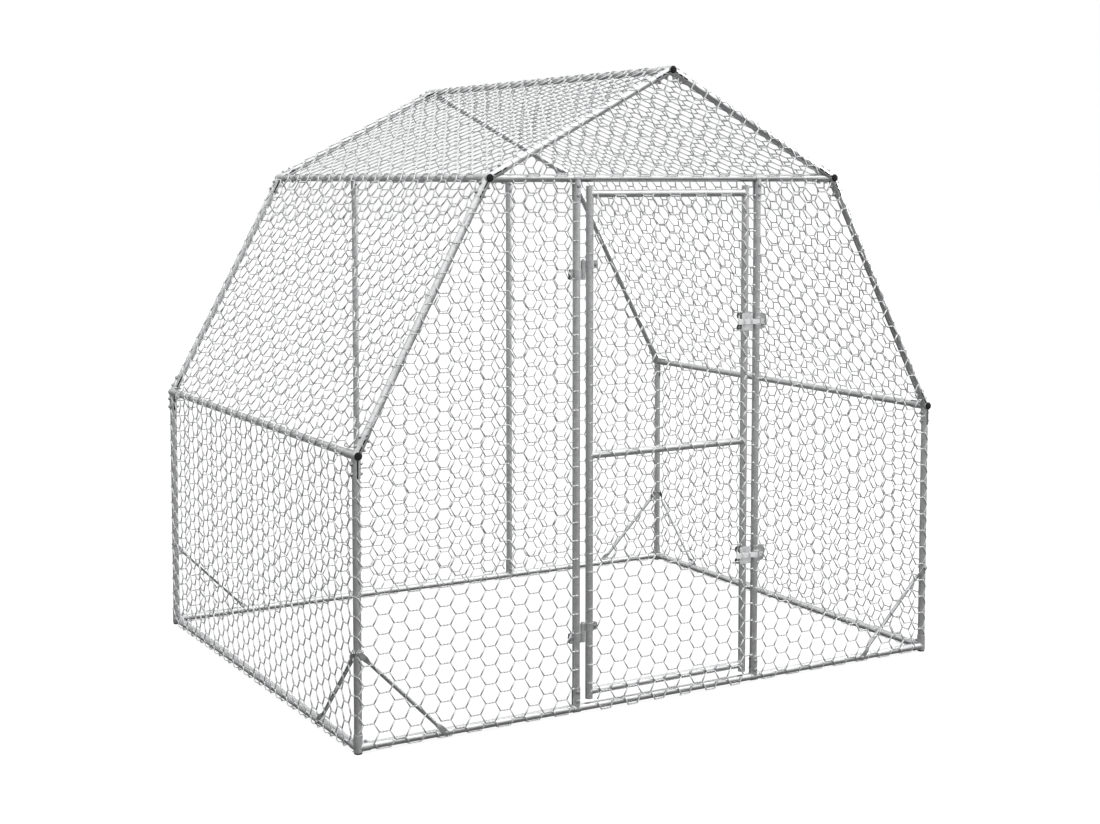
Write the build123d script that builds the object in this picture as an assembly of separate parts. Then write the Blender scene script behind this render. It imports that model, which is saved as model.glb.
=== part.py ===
"""Walk-in poultry run of galvanised tube and hexagonal netting, built piece by piece.

Millimetres, +Z up. The origin is on the ground at the centre of the plan.
+X runs along the front to the latch side of the door, and the door faces -Y.
The left front quarter of the frame is drawn once and mirrored for the other three.
"""
import os
from math import cos, pi, sqrt, tan

from build123d import *

# Tube of the frame and of the door
TUBE_D = 25.0
TUBE_WALL = 1.2
BORE_FLATS = 12
SLEEVE_FLATS = 8

# Frame between tube axes, heights measured from the axis of the bottom rails
FRAME_W = 2275.0
FRAME_D = 1770.0
RAIL_Z = 20.0
EAVE_RISE = 900.0
KNEE_RISE = 1736.0
RIDGE_RISE = 2092.0
KNEE_HALF = 685.0
DOOR_POST_X = 361.0
BUTT_GAP = 1.5
PURLIN_OVER = 18.0

# Door between tube axes
DOOR_GAP = 50.0
DOOR_MID_RISE = 784.0
STILE_OVER = 25.0

# Split clamps, tees and bottom corners
FIT = 0.1
CLAMP_T = 1.8
CLAMP_LEG = 70.0
CLAMP_SLIT = 3.0
TIE_CLEAR = 0.3
TEE_LOOP = 28.0
CORNER_LEG = 40.0
CORNER_LIFT = 5.0
BOLT_NEAR = 25.0
BOLT_FAR = 56.0
HEX_AF = 10.0
HEX_T = 4.0

# Plugs in the open ends of the purlins
PLUG_OUT = 4.0
PLUG_DEEP = 12.0

# Corner braces with flattened ends
BRACE_D = 13.0
BRACE_REACH = 295.0
BRACE_TAB_T = 2.6
BRACE_TAB_W = 19.0
BRACE_TAB_L = 36.0
BRACE_TAPER = 24.0
BRACE_END = 10.0
BRACE_CHAMFER = 4.0
BRACE_SINK = 1.0

# Hinges: a pin on the post's strap and an eye on the door's strap
HINGE_RISES = (235.0, 1426.0)
PIN_D = 10.0
PIN_CLEAR = 0.05
PIN_OVER = 5.0
PIN_STRAP_H = 35.0
EYE_STRAP_H = 27.0
EYE_WALL = 3.0
HINGE_LIFT = 0.3
STRAP_T = 2.5
FLAP_L = 13.0
FLAP_GAP = 4.0
TONGUE_T = 6.0
STRAP_BOLT_AF = 6.0
STRAP_BOLT_CLEAR = 0.2

# Latches: a flat bolt on the door and a keeper on the post
LATCH_RISES = (436.0, 1246.0)
BAR_H = 18.0
BAR_T = 3.0
BAR_BACK = 38.0
BAR_CLEAR = 0.3
LUG_T = 4.0
LUG_H = 12.0
PLATE_W = 46.0
PLATE_H = 60.0
PLATE_T = 2.2
PLATE_SHIFT = 1.0
PLATE_LAP = 1.0
BAND_H = 20.0
STAPLE_W = 7.0
STAPLE_T = 1.9
STAPLE_OFFSETS = (-13.0, 17.0)
KEEPER_H = 56.0
KEEPER_T = 2.4
KEEPER_FLAP_L = 26.0
LIP_BACK = 16.0
LIP_FRONT = 18.0
LIP_T = 2.5
LIP_CLEAR = 1.0
BRIDGE_START = 4.0
TIP_CLEAR = 2.0

# Netting, drawn with enlarged cells
NET_T = 0.8
NET_GAP = 0.1
NET_CELL_W = 252.0
NET_CELL_H = 296.0
NET_WEB = 7.0
NET_BORDER = 21.0
NET_NOTCH = 3.0
NET_LEAST = 0.1

R = TUBE_D / 2
TUBE_BORE = (R - TUBE_WALL) * sqrt(pi / BORE_FLATS / tan(pi / BORE_FLATS))
BORE_R = R + FIT
SLEEVE_R = BORE_R + CLAMP_T
SETBACK = R + BUTT_GAP
YF = -FRAME_D / 2
XL = -FRAME_W / 2
RIGHT = Vector(1, 0, 0)
BACK = Vector(0, 1, 0)
UP = Vector(0, 0, 1)
FOOT = Vector(XL, YF, RAIL_Z)
EAVE = Vector(XL, YF, RAIL_Z + EAVE_RISE)
KNEE = Vector(-KNEE_HALF, YF, RAIL_Z + KNEE_RISE)
RIDGE = Vector(0, YF, RAIL_Z + RIDGE_RISE)
LOWER = (KNEE - EAVE).normalized()
UPPER = (RIDGE - KNEE).normalized()
LOWER_OUT = Vector(-LOWER.Z, 0, LOWER.X)
UPPER_OUT = Vector(-UPPER.Z, 0, UPPER.X)
UPPER_RIGHT = Vector(UPPER.X, 0, -UPPER.Z)
STILE_X = DOOR_POST_X - DOOR_GAP
PIN_X = -DOOR_POST_X + DOOR_GAP / 2
DOOR_LOW = RAIL_Z + DOOR_GAP
DOOR_HIGH = KNEE.Z - DOOR_GAP
DOOR_MID = DOOR_LOW + DOOR_MID_RISE

os.makedirs("parts", exist_ok=True)


def save(name, *pieces):
    """Write one node; a node of several pieces holds one solid for each."""
    solids = [solid for piece in pieces for solid in piece.solids()]
    export_step(Compound(children=solids), f"parts/{name}.step")


def rod(start, end, radius):
    """Round bar between two points."""
    axis = end - start
    return extrude(Plane(start, z_dir=axis) * Circle(radius), axis.length)


def tube(start, end):
    """Length of frame tube between two points."""
    axis = end - start
    bore = RegularPolygon(TUBE_BORE, BORE_FLATS, major_radius=False, rotation=180 / BORE_FLATS)
    ring = Circle(R) - bore
    side = BACK if abs(axis.Y) < 1 else UP
    return extrude(Plane(start, x_dir=side, z_dir=axis) * ring, axis.length)


def prism(start, end, half, side, flats=SLEEVE_FLATS):
    """Many-sided bar between two points, with flats square to side."""
    axis = end - start
    section = RegularPolygon(half, flats, major_radius=False, rotation=180 / flats)
    return extrude(Plane(start, x_dir=side, z_dir=axis) * section, axis.length)


def block(low, high):
    """Box between two opposite corners."""
    size = high - low
    return Pos(low) * Box(size.X, size.Y, size.Z, align=(Align.MIN, Align.MIN, Align.MIN))


def hexagon(seat, direction, height, wide=HEX_AF):
    """Hex head, nut or shank standing on a surface."""
    return extrude(Plane(seat, z_dir=direction) * RegularPolygon(wide / 2, 6, major_radius=False), height)


def largest(piece):
    """The main solid of a cut piece, without its offcuts."""
    return piece.solids().sort_by(SortBy.VOLUME)[-1]


def across(piece):
    """The same piece on the right side."""
    return mirror(piece, about=Plane.YZ)


def behind(piece):
    """The same piece on the back."""
    return mirror(piece, about=Plane.XZ)


def quarters(piece):
    """A piece of the left front quarter and its three mirror images."""
    return [piece, across(piece), behind(piece), behind(across(piece))]


# Arch tubes: posts, two rafters a side, tie bar and bottom rail, front and back
post = tube(Vector(XL, YF, 0), EAVE - UP * SETBACK)
lower = tube(EAVE + LOWER * SETBACK, KNEE - LOWER * SETBACK)
upper = tube(KNEE + UPPER * SETBACK, RIDGE - UPPER * SETBACK)
for piece, word in ((post, "post"), (lower, "lower_rafter"), (upper, "upper_rafter")):
    for part, place in zip(quarters(piece), ("front_left", "front_right", "back_left", "back_right")):
        save(f"{place}_{word}", part)

# The tie bar's ends are coped to the knee clamps
cope_r = SLEEVE_R / cos(pi / SLEEVE_FLATS) + TIE_CLEAR
tie = tube(KNEE, KNEE + RIGHT * KNEE_HALF * 2)
for start, end in (
    (KNEE - BACK * CLAMP_LEG, KNEE + BACK * CLAMP_LEG),
    (KNEE - UPPER * CLAMP_LEG, KNEE + UPPER * CLAMP_LEG * 2),
    (KNEE + LOWER * BUTT_GAP, KNEE - LOWER * CLAMP_LEG),
):
    cope = rod(start, end, cope_r)
    tie = tie - cope - across(cope)
tie = largest(tie)
save("front_tie_bar", tie)
save("back_tie_bar", behind(tie))

front_rail = tube(FOOT + RIGHT * SETBACK, FOOT + RIGHT * (FRAME_W - SETBACK))
side_rail = tube(FOOT + BACK * SETBACK, FOOT + BACK * (FRAME_D - SETBACK))
save("front_bottom_rail", front_rail)
save("back_bottom_rail", behind(front_rail))
save("left_bottom_rail", side_rail)
save("right_bottom_rail", across(side_rail))

door_foot = Vector(-DOOR_POST_X, YF, RAIL_Z)
door_head = Vector(-DOOR_POST_X, YF, KNEE.Z)
stud = tube(door_foot + UP * SETBACK, door_head - UP * SETBACK)
stud_names = ("left_door_post", "right_door_post", "back_left_stud", "back_right_stud")
for part, name in zip(quarters(stud), stud_names):
    save(name, part)

# Purlins run through the arches' joints, and their open ends are plugged
plugs = []
for joint, word in ((EAVE, "eave"), (KNEE, "knee"), (RIDGE, "ridge")):
    purlin = tube(joint - BACK * PURLIN_OVER, joint + BACK * (FRAME_D + PURLIN_OVER))
    mouth = joint - BACK * PURLIN_OVER
    plug = prism(mouth - BACK * PLUG_OUT, mouth + BACK * PLUG_DEEP, TUBE_BORE - FIT, UP, BORE_FLATS)
    if word == "ridge":
        save("ridge_purlin", purlin)
        plugs += [plug, behind(plug)]
    else:
        save(f"left_{word}_purlin", purlin)
        save(f"right_{word}_purlin", across(purlin))
        plugs += quarters(plug)
save("purlin_plugs", *plugs)


def shell(joint, first, second):
    """Sleeves along a joint's two legs and its purlin, bored for the tubes."""
    inward = (first + second).normalized()
    runs = [(joint, joint + first * CLAMP_LEG, BACK), (joint, joint + second * CLAMP_LEG, BACK)]
    runs.append((joint - BACK * PURLIN_OVER, joint + BACK * CLAMP_LEG, inward))
    body = Part() + [prism(start, end, SLEEVE_R, side) for start, end, side in runs]
    return body - [prism(start, end, BORE_R, side) for start, end, side in runs]


def wedge(joint, first, second, shift):
    """Space inside the bend between two legs, moved along their bisector."""
    inward = (first + second).normalized()
    reach = CLAMP_LEG * 3
    tip = joint + inward * shift - BACK * reach
    corners = [tip, tip + first * reach, tip + (first + second + inward) * reach, tip + second * reach]
    return extrude(Face(Wire.make_polygon(corners, close=True)), reach * 2, dir=BACK)


def halves(joint, first, second):
    """Outer and inner half of a split clamp."""
    body = shell(joint, first, second)
    outer = body - wedge(joint, first, second, -CLAMP_SLIT / 2)
    inner = body & wedge(joint, first, second, CLAMP_SLIT / 2)
    return outer, inner


eave_outer, eave_inner = halves(EAVE, -UP, LOWER)
knee_outer, knee_inner = halves(KNEE, -LOWER, UPPER)
ridge_outer, ridge_inner = halves(RIDGE, -UPPER, UPPER_RIGHT)

# The knee's inner half also cradles the tie bar
tie_end = KNEE + RIGHT * CLAMP_LEG
cradle = prism(KNEE, tie_end, SLEEVE_R, BACK) - prism(KNEE, tie_end, BORE_R, BACK)
cradle &= block(KNEE - Vector(0, CLAMP_LEG, CLAMP_LEG), tie_end + BACK * CLAMP_LEG)
cradle -= prism(KNEE, KNEE - LOWER * CLAMP_LEG, BORE_R, BACK)
cradle -= prism(KNEE, KNEE + UPPER * CLAMP_LEG, SLEEVE_R, BACK)
cradle -= prism(KNEE - BACK * CLAMP_LEG, KNEE + BACK * CLAMP_LEG, BORE_R, (UPPER - LOWER).normalized())
knee_inner += cradle

save("eave_clamp_outers", *quarters(eave_outer))
save("eave_clamp_inners", *quarters(eave_inner))
save("knee_clamp_outers", *quarters(knee_outer))
save("knee_clamp_inners", *quarters(knee_inner))
save("ridge_clamps", ridge_outer, ridge_inner, behind(ridge_outer), behind(ridge_inner))

# Bolt heads on the clamps: outside on the posts and rafters, below on the tie bar's cradle
bolts = []
for reach in (BOLT_NEAR, BOLT_FAR):
    heads = [(EAVE - UP * reach, -RIGHT), (EAVE + LOWER * reach, LOWER_OUT)]
    heads += [(KNEE - LOWER * reach, LOWER_OUT)]
    for seat, out in heads:
        bolts += quarters(hexagon(seat + out * SLEEVE_R, out, HEX_T))
    bolts += quarters(hexagon(KNEE + UPPER * reach + UPPER_OUT * SLEEVE_R, UPPER_OUT, HEX_T))
    bolts += quarters(hexagon(KNEE + RIGHT * reach - UP * SLEEVE_R, -UP, HEX_T))
    bolts += quarters(hexagon(RIDGE - UPPER * reach + UPPER_OUT * SLEEVE_R, UPPER_OUT, HEX_T))


def tee(bar, way):
    """Front and back half of the tee that holds a post to a bar."""
    loop = RIGHT * (TEE_LOOP / 2)
    body = prism(bar, bar + way * CLAMP_LEG, SLEEVE_R, BACK) + prism(bar - loop, bar + loop, SLEEVE_R, BACK)
    body -= prism(bar, bar + way * CLAMP_LEG, BORE_R, BACK)
    body -= prism(bar - loop * 2, bar + loop * 2, BORE_R, BACK)
    reach = Vector(CLAMP_LEG, CLAMP_LEG, CLAMP_LEG) * 2
    slit = BACK * (CLAMP_SLIT / 2)
    front = body & block(bar - reach, bar + Vector(reach.X, 0, reach.Z) - slit)
    rear = body & block(bar + slit - Vector(reach.X, 0, reach.Z), bar + reach)
    return front, rear


tees = []
for bar, way in ((door_foot, UP), (door_head, -UP)):
    for half in tee(bar, way):
        tees += quarters(half)
    for reach in (BOLT_NEAR, BOLT_FAR):
        bolts += quarters(hexagon(bar + way * reach - BACK * SLEEVE_R, -BACK, HEX_T))
save("tee_clamps", *tees)

# Bottom corners: a collar on the post with a socket for each rail
collar_top = RAIL_Z + CORNER_LEG
collar = prism(Vector(XL, YF, CORNER_LIFT), Vector(XL, YF, collar_top), SLEEVE_R, BACK)
collar += prism(FOOT, FOOT + RIGHT * CORNER_LEG, SLEEVE_R, BACK)
collar += prism(FOOT, FOOT + BACK * CORNER_LEG, SLEEVE_R, RIGHT)
collar -= prism(Vector(XL, YF, 0), Vector(XL, YF, collar_top), BORE_R, BACK)
collar -= prism(FOOT, FOOT + RIGHT * CORNER_LEG, BORE_R, BACK)
collar -= prism(FOOT, FOOT + BACK * CORNER_LEG, BORE_R, RIGHT)
save("bottom_corners", *quarters(collar))
for way in (RIGHT, BACK):
    bolts += quarters(hexagon(FOOT + way * BOLT_NEAR + UP * SLEEVE_R, UP, HEX_T))


def brace(corner, along, outward):
    """Brace from a post down to a rail: flattened ends on their outer sides, body behind the net."""
    seat = corner + outward * (R + BRACE_TAB_T / 2)
    high = seat + UP * BRACE_REACH
    low = seat + along * BRACE_REACH
    way = (low - high).normalized()
    tip = high - way * BRACE_END
    length = (low - high).length + BRACE_END * 2
    neck = BRACE_TAB_L + BRACE_TAPER
    top = -BRACE_TAB_T / 2 - BRACE_SINK
    axis_start = tip + outward * (top - BRACE_D / 2)
    body = prism(axis_start + way * neck, axis_start + way * (length - neck), BRACE_D / 2, outward)
    tab = BRACE_TAB_T / 2
    bend = [(0, tab), (BRACE_TAB_L, tab), (neck, top)]
    bend += [(neck, top - BRACE_D), (BRACE_TAB_L, -tab), (0, -tab)]
    half = BRACE_TAB_W / 2
    plan = [(0, half - BRACE_CHAMFER), (BRACE_CHAMFER, half), (BRACE_TAB_L, half), (neck, BRACE_D / 2)]
    plan += [(u, -w) for u, w in reversed(plan)]
    for start, ahead in ((tip, way), (tip + way * length, -way)):
        side = ahead.cross(outward)
        seen_flat = Plane(start, x_dir=ahead, z_dir=side)
        seen_face = Plane(start, x_dir=ahead, z_dir=outward)
        end = extrude(seen_flat * make_face(Polyline(*bend, close=True)), half, both=True)
        body += end & extrude(seen_face * make_face(Polyline(*plan, close=True)), BRACE_D * 2, both=True)
    screws = [hexagon(spot + outward * tab, outward, HEX_T) for spot in (high, low)]
    return body, screws


front_brace, front_screws = brace(FOOT, RIGHT, -BACK)
side_brace, side_screws = brace(FOOT, BACK, -RIGHT)
braces = quarters(front_brace) + [side_brace, behind(across(side_brace))]
save("corner_braces", *braces)
for screw in front_screws:
    bolts += quarters(screw)
for screw in side_screws:
    bolts += [screw, behind(across(screw))]


def strap(axis_x, height, thickness, out, flap=FLAP_L):
    """Open band round a tube on the front plane, with two flaps on the side out points to."""
    base = Vector(axis_x, YF, 0)
    band = prism(base, base + UP * height, BORE_R + thickness, BACK)
    far = BORE_R + thickness + flap
    half_gap = FLAP_GAP / 2
    ends = sorted((0, out * far))
    flaps = Vector(ends[0], -half_gap - thickness, 0), Vector(ends[1], half_gap + thickness, height)
    slot = Vector(ends[0] - abs(out), -half_gap, 0), Vector(ends[1] + abs(out), half_gap, height)
    band += block(base + flaps[0], base + flaps[1])
    band -= block(base + slot[0], base + slot[1])
    band -= prism(base, base + UP * height, BORE_R, BACK)
    hole_x = axis_x + out * (far - flap / 2)
    return band, hole_x, half_gap + thickness


def cross_bolt(x, z, half_grip):
    """Bolt through a strap's flaps, with its nut."""
    front = Vector(x, YF - half_grip, z)
    bolt = hexagon(front, -BACK, HEX_T) + hexagon(front, BACK, half_grip * 2, STRAP_BOLT_AF)
    return bolt + hexagon(front + BACK * half_grip * 2, BACK, HEX_T)


def bolt_hole(x, z):
    """Clearance hole for such a bolt."""
    front = Vector(x, YF - TUBE_D, z)
    return hexagon(front, BACK, TUBE_D * 2, STRAP_BOLT_AF + STRAP_BOLT_CLEAR * 2)


# Hinges: the pin stands on the post's strap and passes up through the eye on the door's strap
eye_r = PIN_D / 2 + PIN_CLEAR + EYE_WALL
pin_straps = []
eye_straps = []
door_bolts = []
for rise in HINGE_RISES:
    low = RAIL_Z + rise - PIN_STRAP_H / 2
    band, hole_x, grip = strap(-DOOR_POST_X, PIN_STRAP_H, STRAP_T, -1)
    pin_foot = Vector(PIN_X, YF, 0)
    band += block(
        Vector(-DOOR_POST_X + BORE_R, YF - TONGUE_T / 2, 0),
        Vector(PIN_X, YF + TONGUE_T / 2, PIN_STRAP_H),
    )
    band += prism(pin_foot, pin_foot + UP * PIN_STRAP_H, eye_r, BACK)
    band += rod(pin_foot, pin_foot + UP * (PIN_STRAP_H + HINGE_LIFT + EYE_STRAP_H + PIN_OVER), PIN_D / 2)
    band -= bolt_hole(hole_x, PIN_STRAP_H / 2)
    pin_straps.append(Pos(0, 0, low) * band)
    bolts.append(cross_bolt(hole_x, low + PIN_STRAP_H / 2, grip))

    seat = low + PIN_STRAP_H + HINGE_LIFT
    band, hole_x, grip = strap(-STILE_X, EYE_STRAP_H, STRAP_T, 1)
    band += block(
        Vector(PIN_X, YF - TONGUE_T / 2, 0),
        Vector(-STILE_X - BORE_R, YF + TONGUE_T / 2, EYE_STRAP_H),
    )
    band += prism(pin_foot, pin_foot + UP * EYE_STRAP_H, eye_r, BACK)
    band -= rod(pin_foot, pin_foot + UP * EYE_STRAP_H, PIN_D / 2 + PIN_CLEAR)
    band -= bolt_hole(hole_x, EYE_STRAP_H / 2)
    eye_straps.append(Pos(0, 0, seat) * band)
    door_bolts.append(cross_bolt(hole_x, seat + EYE_STRAP_H / 2, grip))
save("hinge_pin_straps", *pin_straps)
save("hinge_eye_straps", *eye_straps)

# Door: two stiles and three rails coped to them
stile_low = Vector(-STILE_X, YF, DOOR_LOW - STILE_OVER)
stile_high = Vector(-STILE_X, YF, DOOR_HIGH + STILE_OVER)
stile = tube(stile_low, stile_high)
save("door_hinge_stile", stile)
save("door_latch_stile", across(stile))
for height, name in ((DOOR_LOW, "bottom"), (DOOR_MID, "middle"), (DOOR_HIGH, "top")):
    left_end = Vector(-STILE_X, YF, height)
    saddle = rod(left_end - UP * TUBE_D, left_end + UP * TUBE_D, R)
    save(f"door_{name}_rail", tube(left_end, Vector(STILE_X, YF, height)) - saddle - across(saddle))

# Latches: bracket and sliding bolt on the door, keeper on the post
plate_back = BORE_R + KEEPER_T - PLATE_LAP
plate_front = plate_back + PLATE_T
bar_back = plate_front + BAR_CLEAR
bar_front = bar_back + BAR_T
outer_back = bar_front + BAR_CLEAR
outer_front = outer_back + STAPLE_T
brackets = []
keepers = []
for rise, name in zip(LATCH_RISES, ("lower", "upper")):
    centre = Vector(STILE_X, YF, RAIL_Z + rise)
    middle = Vector(STILE_X + PLATE_SHIFT, YF, RAIL_Z + rise)
    bracket = block(
        middle + Vector(-PLATE_W / 2, -plate_front, -PLATE_H / 2),
        middle + Vector(PLATE_W / 2, -plate_back, PLATE_H / 2),
    )
    for low in (-PLATE_H / 2, PLATE_H / 2 - BAND_H):
        band, hole_x, grip = strap(STILE_X, BAND_H, KEEPER_T, -1)
        band -= bolt_hole(hole_x, BAND_H / 2)
        bracket += Pos(0, 0, centre.Z + low) * band
        door_bolts.append(cross_bolt(hole_x, centre.Z + low + BAND_H / 2, grip))
    rim = BAR_H / 2 + BAR_CLEAR
    for offset in STAPLE_OFFSETS:
        spot = centre + RIGHT * offset
        staple = block(
            spot + Vector(-STAPLE_W / 2, -outer_front, -rim - STAPLE_T),
            spot + Vector(STAPLE_W / 2, -plate_front, rim + STAPLE_T),
        )
        bracket += staple - block(
            spot + Vector(-STAPLE_W, -outer_back, -rim),
            spot + Vector(STAPLE_W, -plate_front, rim),
        )
    brackets.append(bracket)

    tip = DOOR_POST_X - STILE_X + BRIDGE_START - TIP_CLEAR
    bar = block(
        centre + Vector(-BAR_BACK, -bar_front, -BAR_H / 2),
        centre + Vector(tip, -bar_back, BAR_H / 2),
    )
    bar += block(
        centre + Vector(-BAR_BACK, -bar_front, 0),
        centre + Vector(-BAR_BACK + LUG_T, -bar_back, BAR_H / 2 + LUG_H),
    )
    save(f"{name}_latch_bolt", bar)

    hold = Vector(DOOR_POST_X, YF, RAIL_Z + rise)
    keeper, hole_x, grip = strap(DOOR_POST_X, KEEPER_H, KEEPER_T, 1, KEEPER_FLAP_L)
    keeper = Pos(0, 0, hold.Z - KEEPER_H / 2) * keeper
    inner = BAR_H / 2 + LIP_CLEAR
    for low in (inner, -inner - LIP_T):
        keeper += block(
            hold + Vector(-LIP_BACK, -outer_front, low),
            hold + Vector(LIP_FRONT, -BORE_R, low + LIP_T),
        )
    keeper += block(
        hold + Vector(BRIDGE_START, -outer_front, -inner - LIP_T),
        hold + Vector(LIP_FRONT, -outer_back, inner + LIP_T),
    )
    keeper -= prism(hold - UP * KEEPER_H, hold + UP * KEEPER_H, BORE_R, BACK)
    keeper -= bolt_hole(hole_x, hold.Z)
    keepers.append(keeper)
    bolts.append(cross_bolt(hole_x, hold.Z, grip))
save("latch_brackets", *brackets)
save("latch_keepers", *keepers)
save("door_bolts", *door_bolts)
save("frame_bolts", *bolts)


def clip(points, outline, inset):
    """Part of a polygon inside a convex anticlockwise outline, set in from its edges."""
    for (ax, ay), (bx, by) in zip(outline, outline[1:] + outline[:1]):
        run = Vector(bx - ax, by - ay)
        depth = [(run.X * (y - ay) - run.Y * (x - ax)) / run.length - inset for x, y in points]
        kept = []
        for i, (x, y) in enumerate(points):
            px, py = points[i - 1]
            here, last = depth[i], depth[i - 1]
            if (here > 0) != (last > 0):
                share = last / (last - here)
                kept.append((px + (x - px) * share, py + (y - py) * share))
            if here > 0:
                kept.append((x, y))
        points = kept
        if not points:
            break
    return points


def area(points):
    """Area of a polygon."""
    pairs = zip(points, points[1:] + points[:1])
    return sum(ax * by - bx * ay for (ax, ay), (bx, by) in pairs) / 2


def strip(start, end, half):
    """Notch along a tube from one point to another, past the end by the net's clearance."""
    way = (end - start).normalized()
    middle = (start + end + way * NET_NOTCH) / 2
    length = (end - start).length + NET_NOTCH + half * 2
    turn = Vector(1, 0).get_signed_angle(way, Vector(0, 0, 1))
    return Pos(middle - way * half) * Rot(0, 0, turn) * Rectangle(length, half * 2)


def net(plane, outline, notches):
    """Netting panel: one holed face, notched where clamps stand proud of the tubes."""
    cell = [(2, 0), (1, 1), (-1, 1), (-2, 0), (-1, -1), (1, -1)]
    half_w = (NET_CELL_W - NET_WEB) / 3
    half_h = (NET_CELL_H - NET_WEB) / 2
    full = area([(u * half_w, v * half_h) for u, v in cell])
    us = [u for u, v in outline]
    vs = [v for u, v in outline]
    centre_u = (min(us) + max(us)) / 2
    centre_v = (min(vs) + max(vs)) / 2
    columns = int((max(us) - min(us)) / NET_CELL_W / 2) + 1
    rows = int((max(vs) - min(vs)) / NET_CELL_H / 2) + 2
    gaps = []
    for i in range(-columns, columns + 1):
        for j in range(-rows, rows + 1):
            u0 = centre_u + i * NET_CELL_W
            v0 = centre_v + (j + i % 2 / 2) * NET_CELL_H
            gap = clip([(u0 + u * half_w, v0 + v * half_h) for u, v in cell], outline, NET_BORDER)
            if gap and area(gap) > full * NET_LEAST:
                gaps.append(Wire.make_polygon([Vector(u, v) for u, v in gap], close=True))
    sheet = Face(Wire.make_polygon([Vector(u, v) for u, v in outline], close=True), gaps)
    panel = extrude(plane * sheet, NET_T)
    for notch in notches:
        panel -= extrude(plane * notch, NET_T)
    return largest(panel)


def flat(point):
    """Point of the front plane in its own two axes."""
    return Vector(point.X, point.Z)


NOTCH = SLEEVE_R + NET_NOTCH
across_2d = Vector(1, 0)
up_2d = Vector(0, 1)
lower_2d = flat(LOWER)
upper_2d = flat(UPPER)
front_plane = Plane(Vector(0, YF - R - NET_GAP, 0), x_dir=RIGHT, z_dir=-BACK)
foot_2d, eave_2d, knee_2d, ridge_2d = (flat(point) for point in (FOOT, EAVE, KNEE, RIDGE))


def tab_notches(corner, along):
    """Notches for a brace's two flattened ends on the post and on the rail."""
    high = corner + up_2d * BRACE_REACH
    low = corner + along * BRACE_REACH
    way = (low - high).normalized() * (BRACE_TAB_L + BRACE_TAPER - BRACE_END)
    half = BRACE_TAB_W / 2 + NET_NOTCH
    return [strip(high, high + way, half), strip(low, low - way, half)]


left_notches = [
    strip(foot_2d, foot_2d + up_2d * CORNER_LEG, NOTCH),
    strip(foot_2d, foot_2d + across_2d * CORNER_LEG, NOTCH),
    strip(eave_2d, eave_2d - up_2d * CLAMP_LEG, NOTCH),
    strip(eave_2d, eave_2d + lower_2d * CLAMP_LEG, NOTCH),
    strip(knee_2d, knee_2d - lower_2d * CLAMP_LEG, NOTCH),
    strip(knee_2d, knee_2d + across_2d * CLAMP_LEG, NOTCH),
    strip(knee_2d, knee_2d + upper_2d * CLAMP_LEG, NOTCH),
    *tab_notches(foot_2d, across_2d),
]
post_notches = []
for bar, way in ((flat(door_foot), up_2d), (flat(door_head), -up_2d)):
    post_notches.append(strip(bar, bar + way * CLAMP_LEG, NOTCH))
    post_notches.append(Pos(bar) * Rectangle(TEE_LOOP + NET_NOTCH * 2, NOTCH * 2))
ridge_notches = [
    strip(ridge_2d, ridge_2d - upper_2d * CLAMP_LEG, NOTCH),
    strip(ridge_2d, ridge_2d + Vector(upper_2d.X, -upper_2d.Y) * CLAMP_LEG, NOTCH),
]


def pairs_2d(vectors):
    """Points as plain pairs."""
    return [(point.X, point.Y) for point in vectors]


def band_notch(x, rise, height, side):
    """Notch for a strap on a tube of the front plane, out to one side of its axis."""
    deep = BORE_R + STRAP_T + NET_NOTCH
    return Pos(x + side * deep / 2, RAIL_Z + rise) * Rectangle(deep + NET_NOTCH, height + NET_NOTCH * 2)


def mirrored(vectors):
    """Points mirrored to the right side, still anticlockwise."""
    return [Vector(-point.X, point.Y) for point in reversed(vectors)]


# Front nets: beside the door on each side, and the gable above the tie bar
side_outline = [foot_2d, flat(door_foot), flat(door_head), knee_2d, eave_2d]
hinge_notches = [band_notch(-DOOR_POST_X, rise, PIN_STRAP_H, -1) for rise in HINGE_RISES]
save("front_left_net", net(front_plane, pairs_2d(side_outline), left_notches + post_notches + hinge_notches))
keeper_notches = [band_notch(DOOR_POST_X, rise, KEEPER_H, 1) for rise in LATCH_RISES]
lip_notch = Rectangle(LIP_FRONT * 2 + NET_NOTCH, KEEPER_H)
keeper_notches += [Pos(DOOR_POST_X, RAIL_Z + rise) * lip_notch for rise in LATCH_RISES]
flipped = [mirror(notch, about=Plane.YZ) for notch in left_notches + post_notches]
save("front_right_net", net(front_plane, pairs_2d(mirrored(side_outline)), flipped + keeper_notches))
gable_outline = [knee_2d, Vector(KNEE_HALF, knee_2d.Y), ridge_2d]
gable_notches = left_notches[4:7] + flipped[4:7] + ridge_notches
gable_notches += [post_notches[3], mirror(post_notches[3], about=Plane.YZ)]
save("gable_net", net(front_plane, pairs_2d(gable_outline), gable_notches))

# Back net: the whole arch in one panel, notched for the studs' tees at its edges and in its middle
back_outline = [foot_2d, Vector(-XL, RAIL_Z), Vector(-XL, eave_2d.Y), Vector(KNEE_HALF, knee_2d.Y)]
back_outline += [ridge_2d, knee_2d, eave_2d]
back_notches = left_notches + post_notches + flipped + ridge_notches
save("back_net", behind(net(front_plane, pairs_2d(back_outline), back_notches)))

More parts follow.
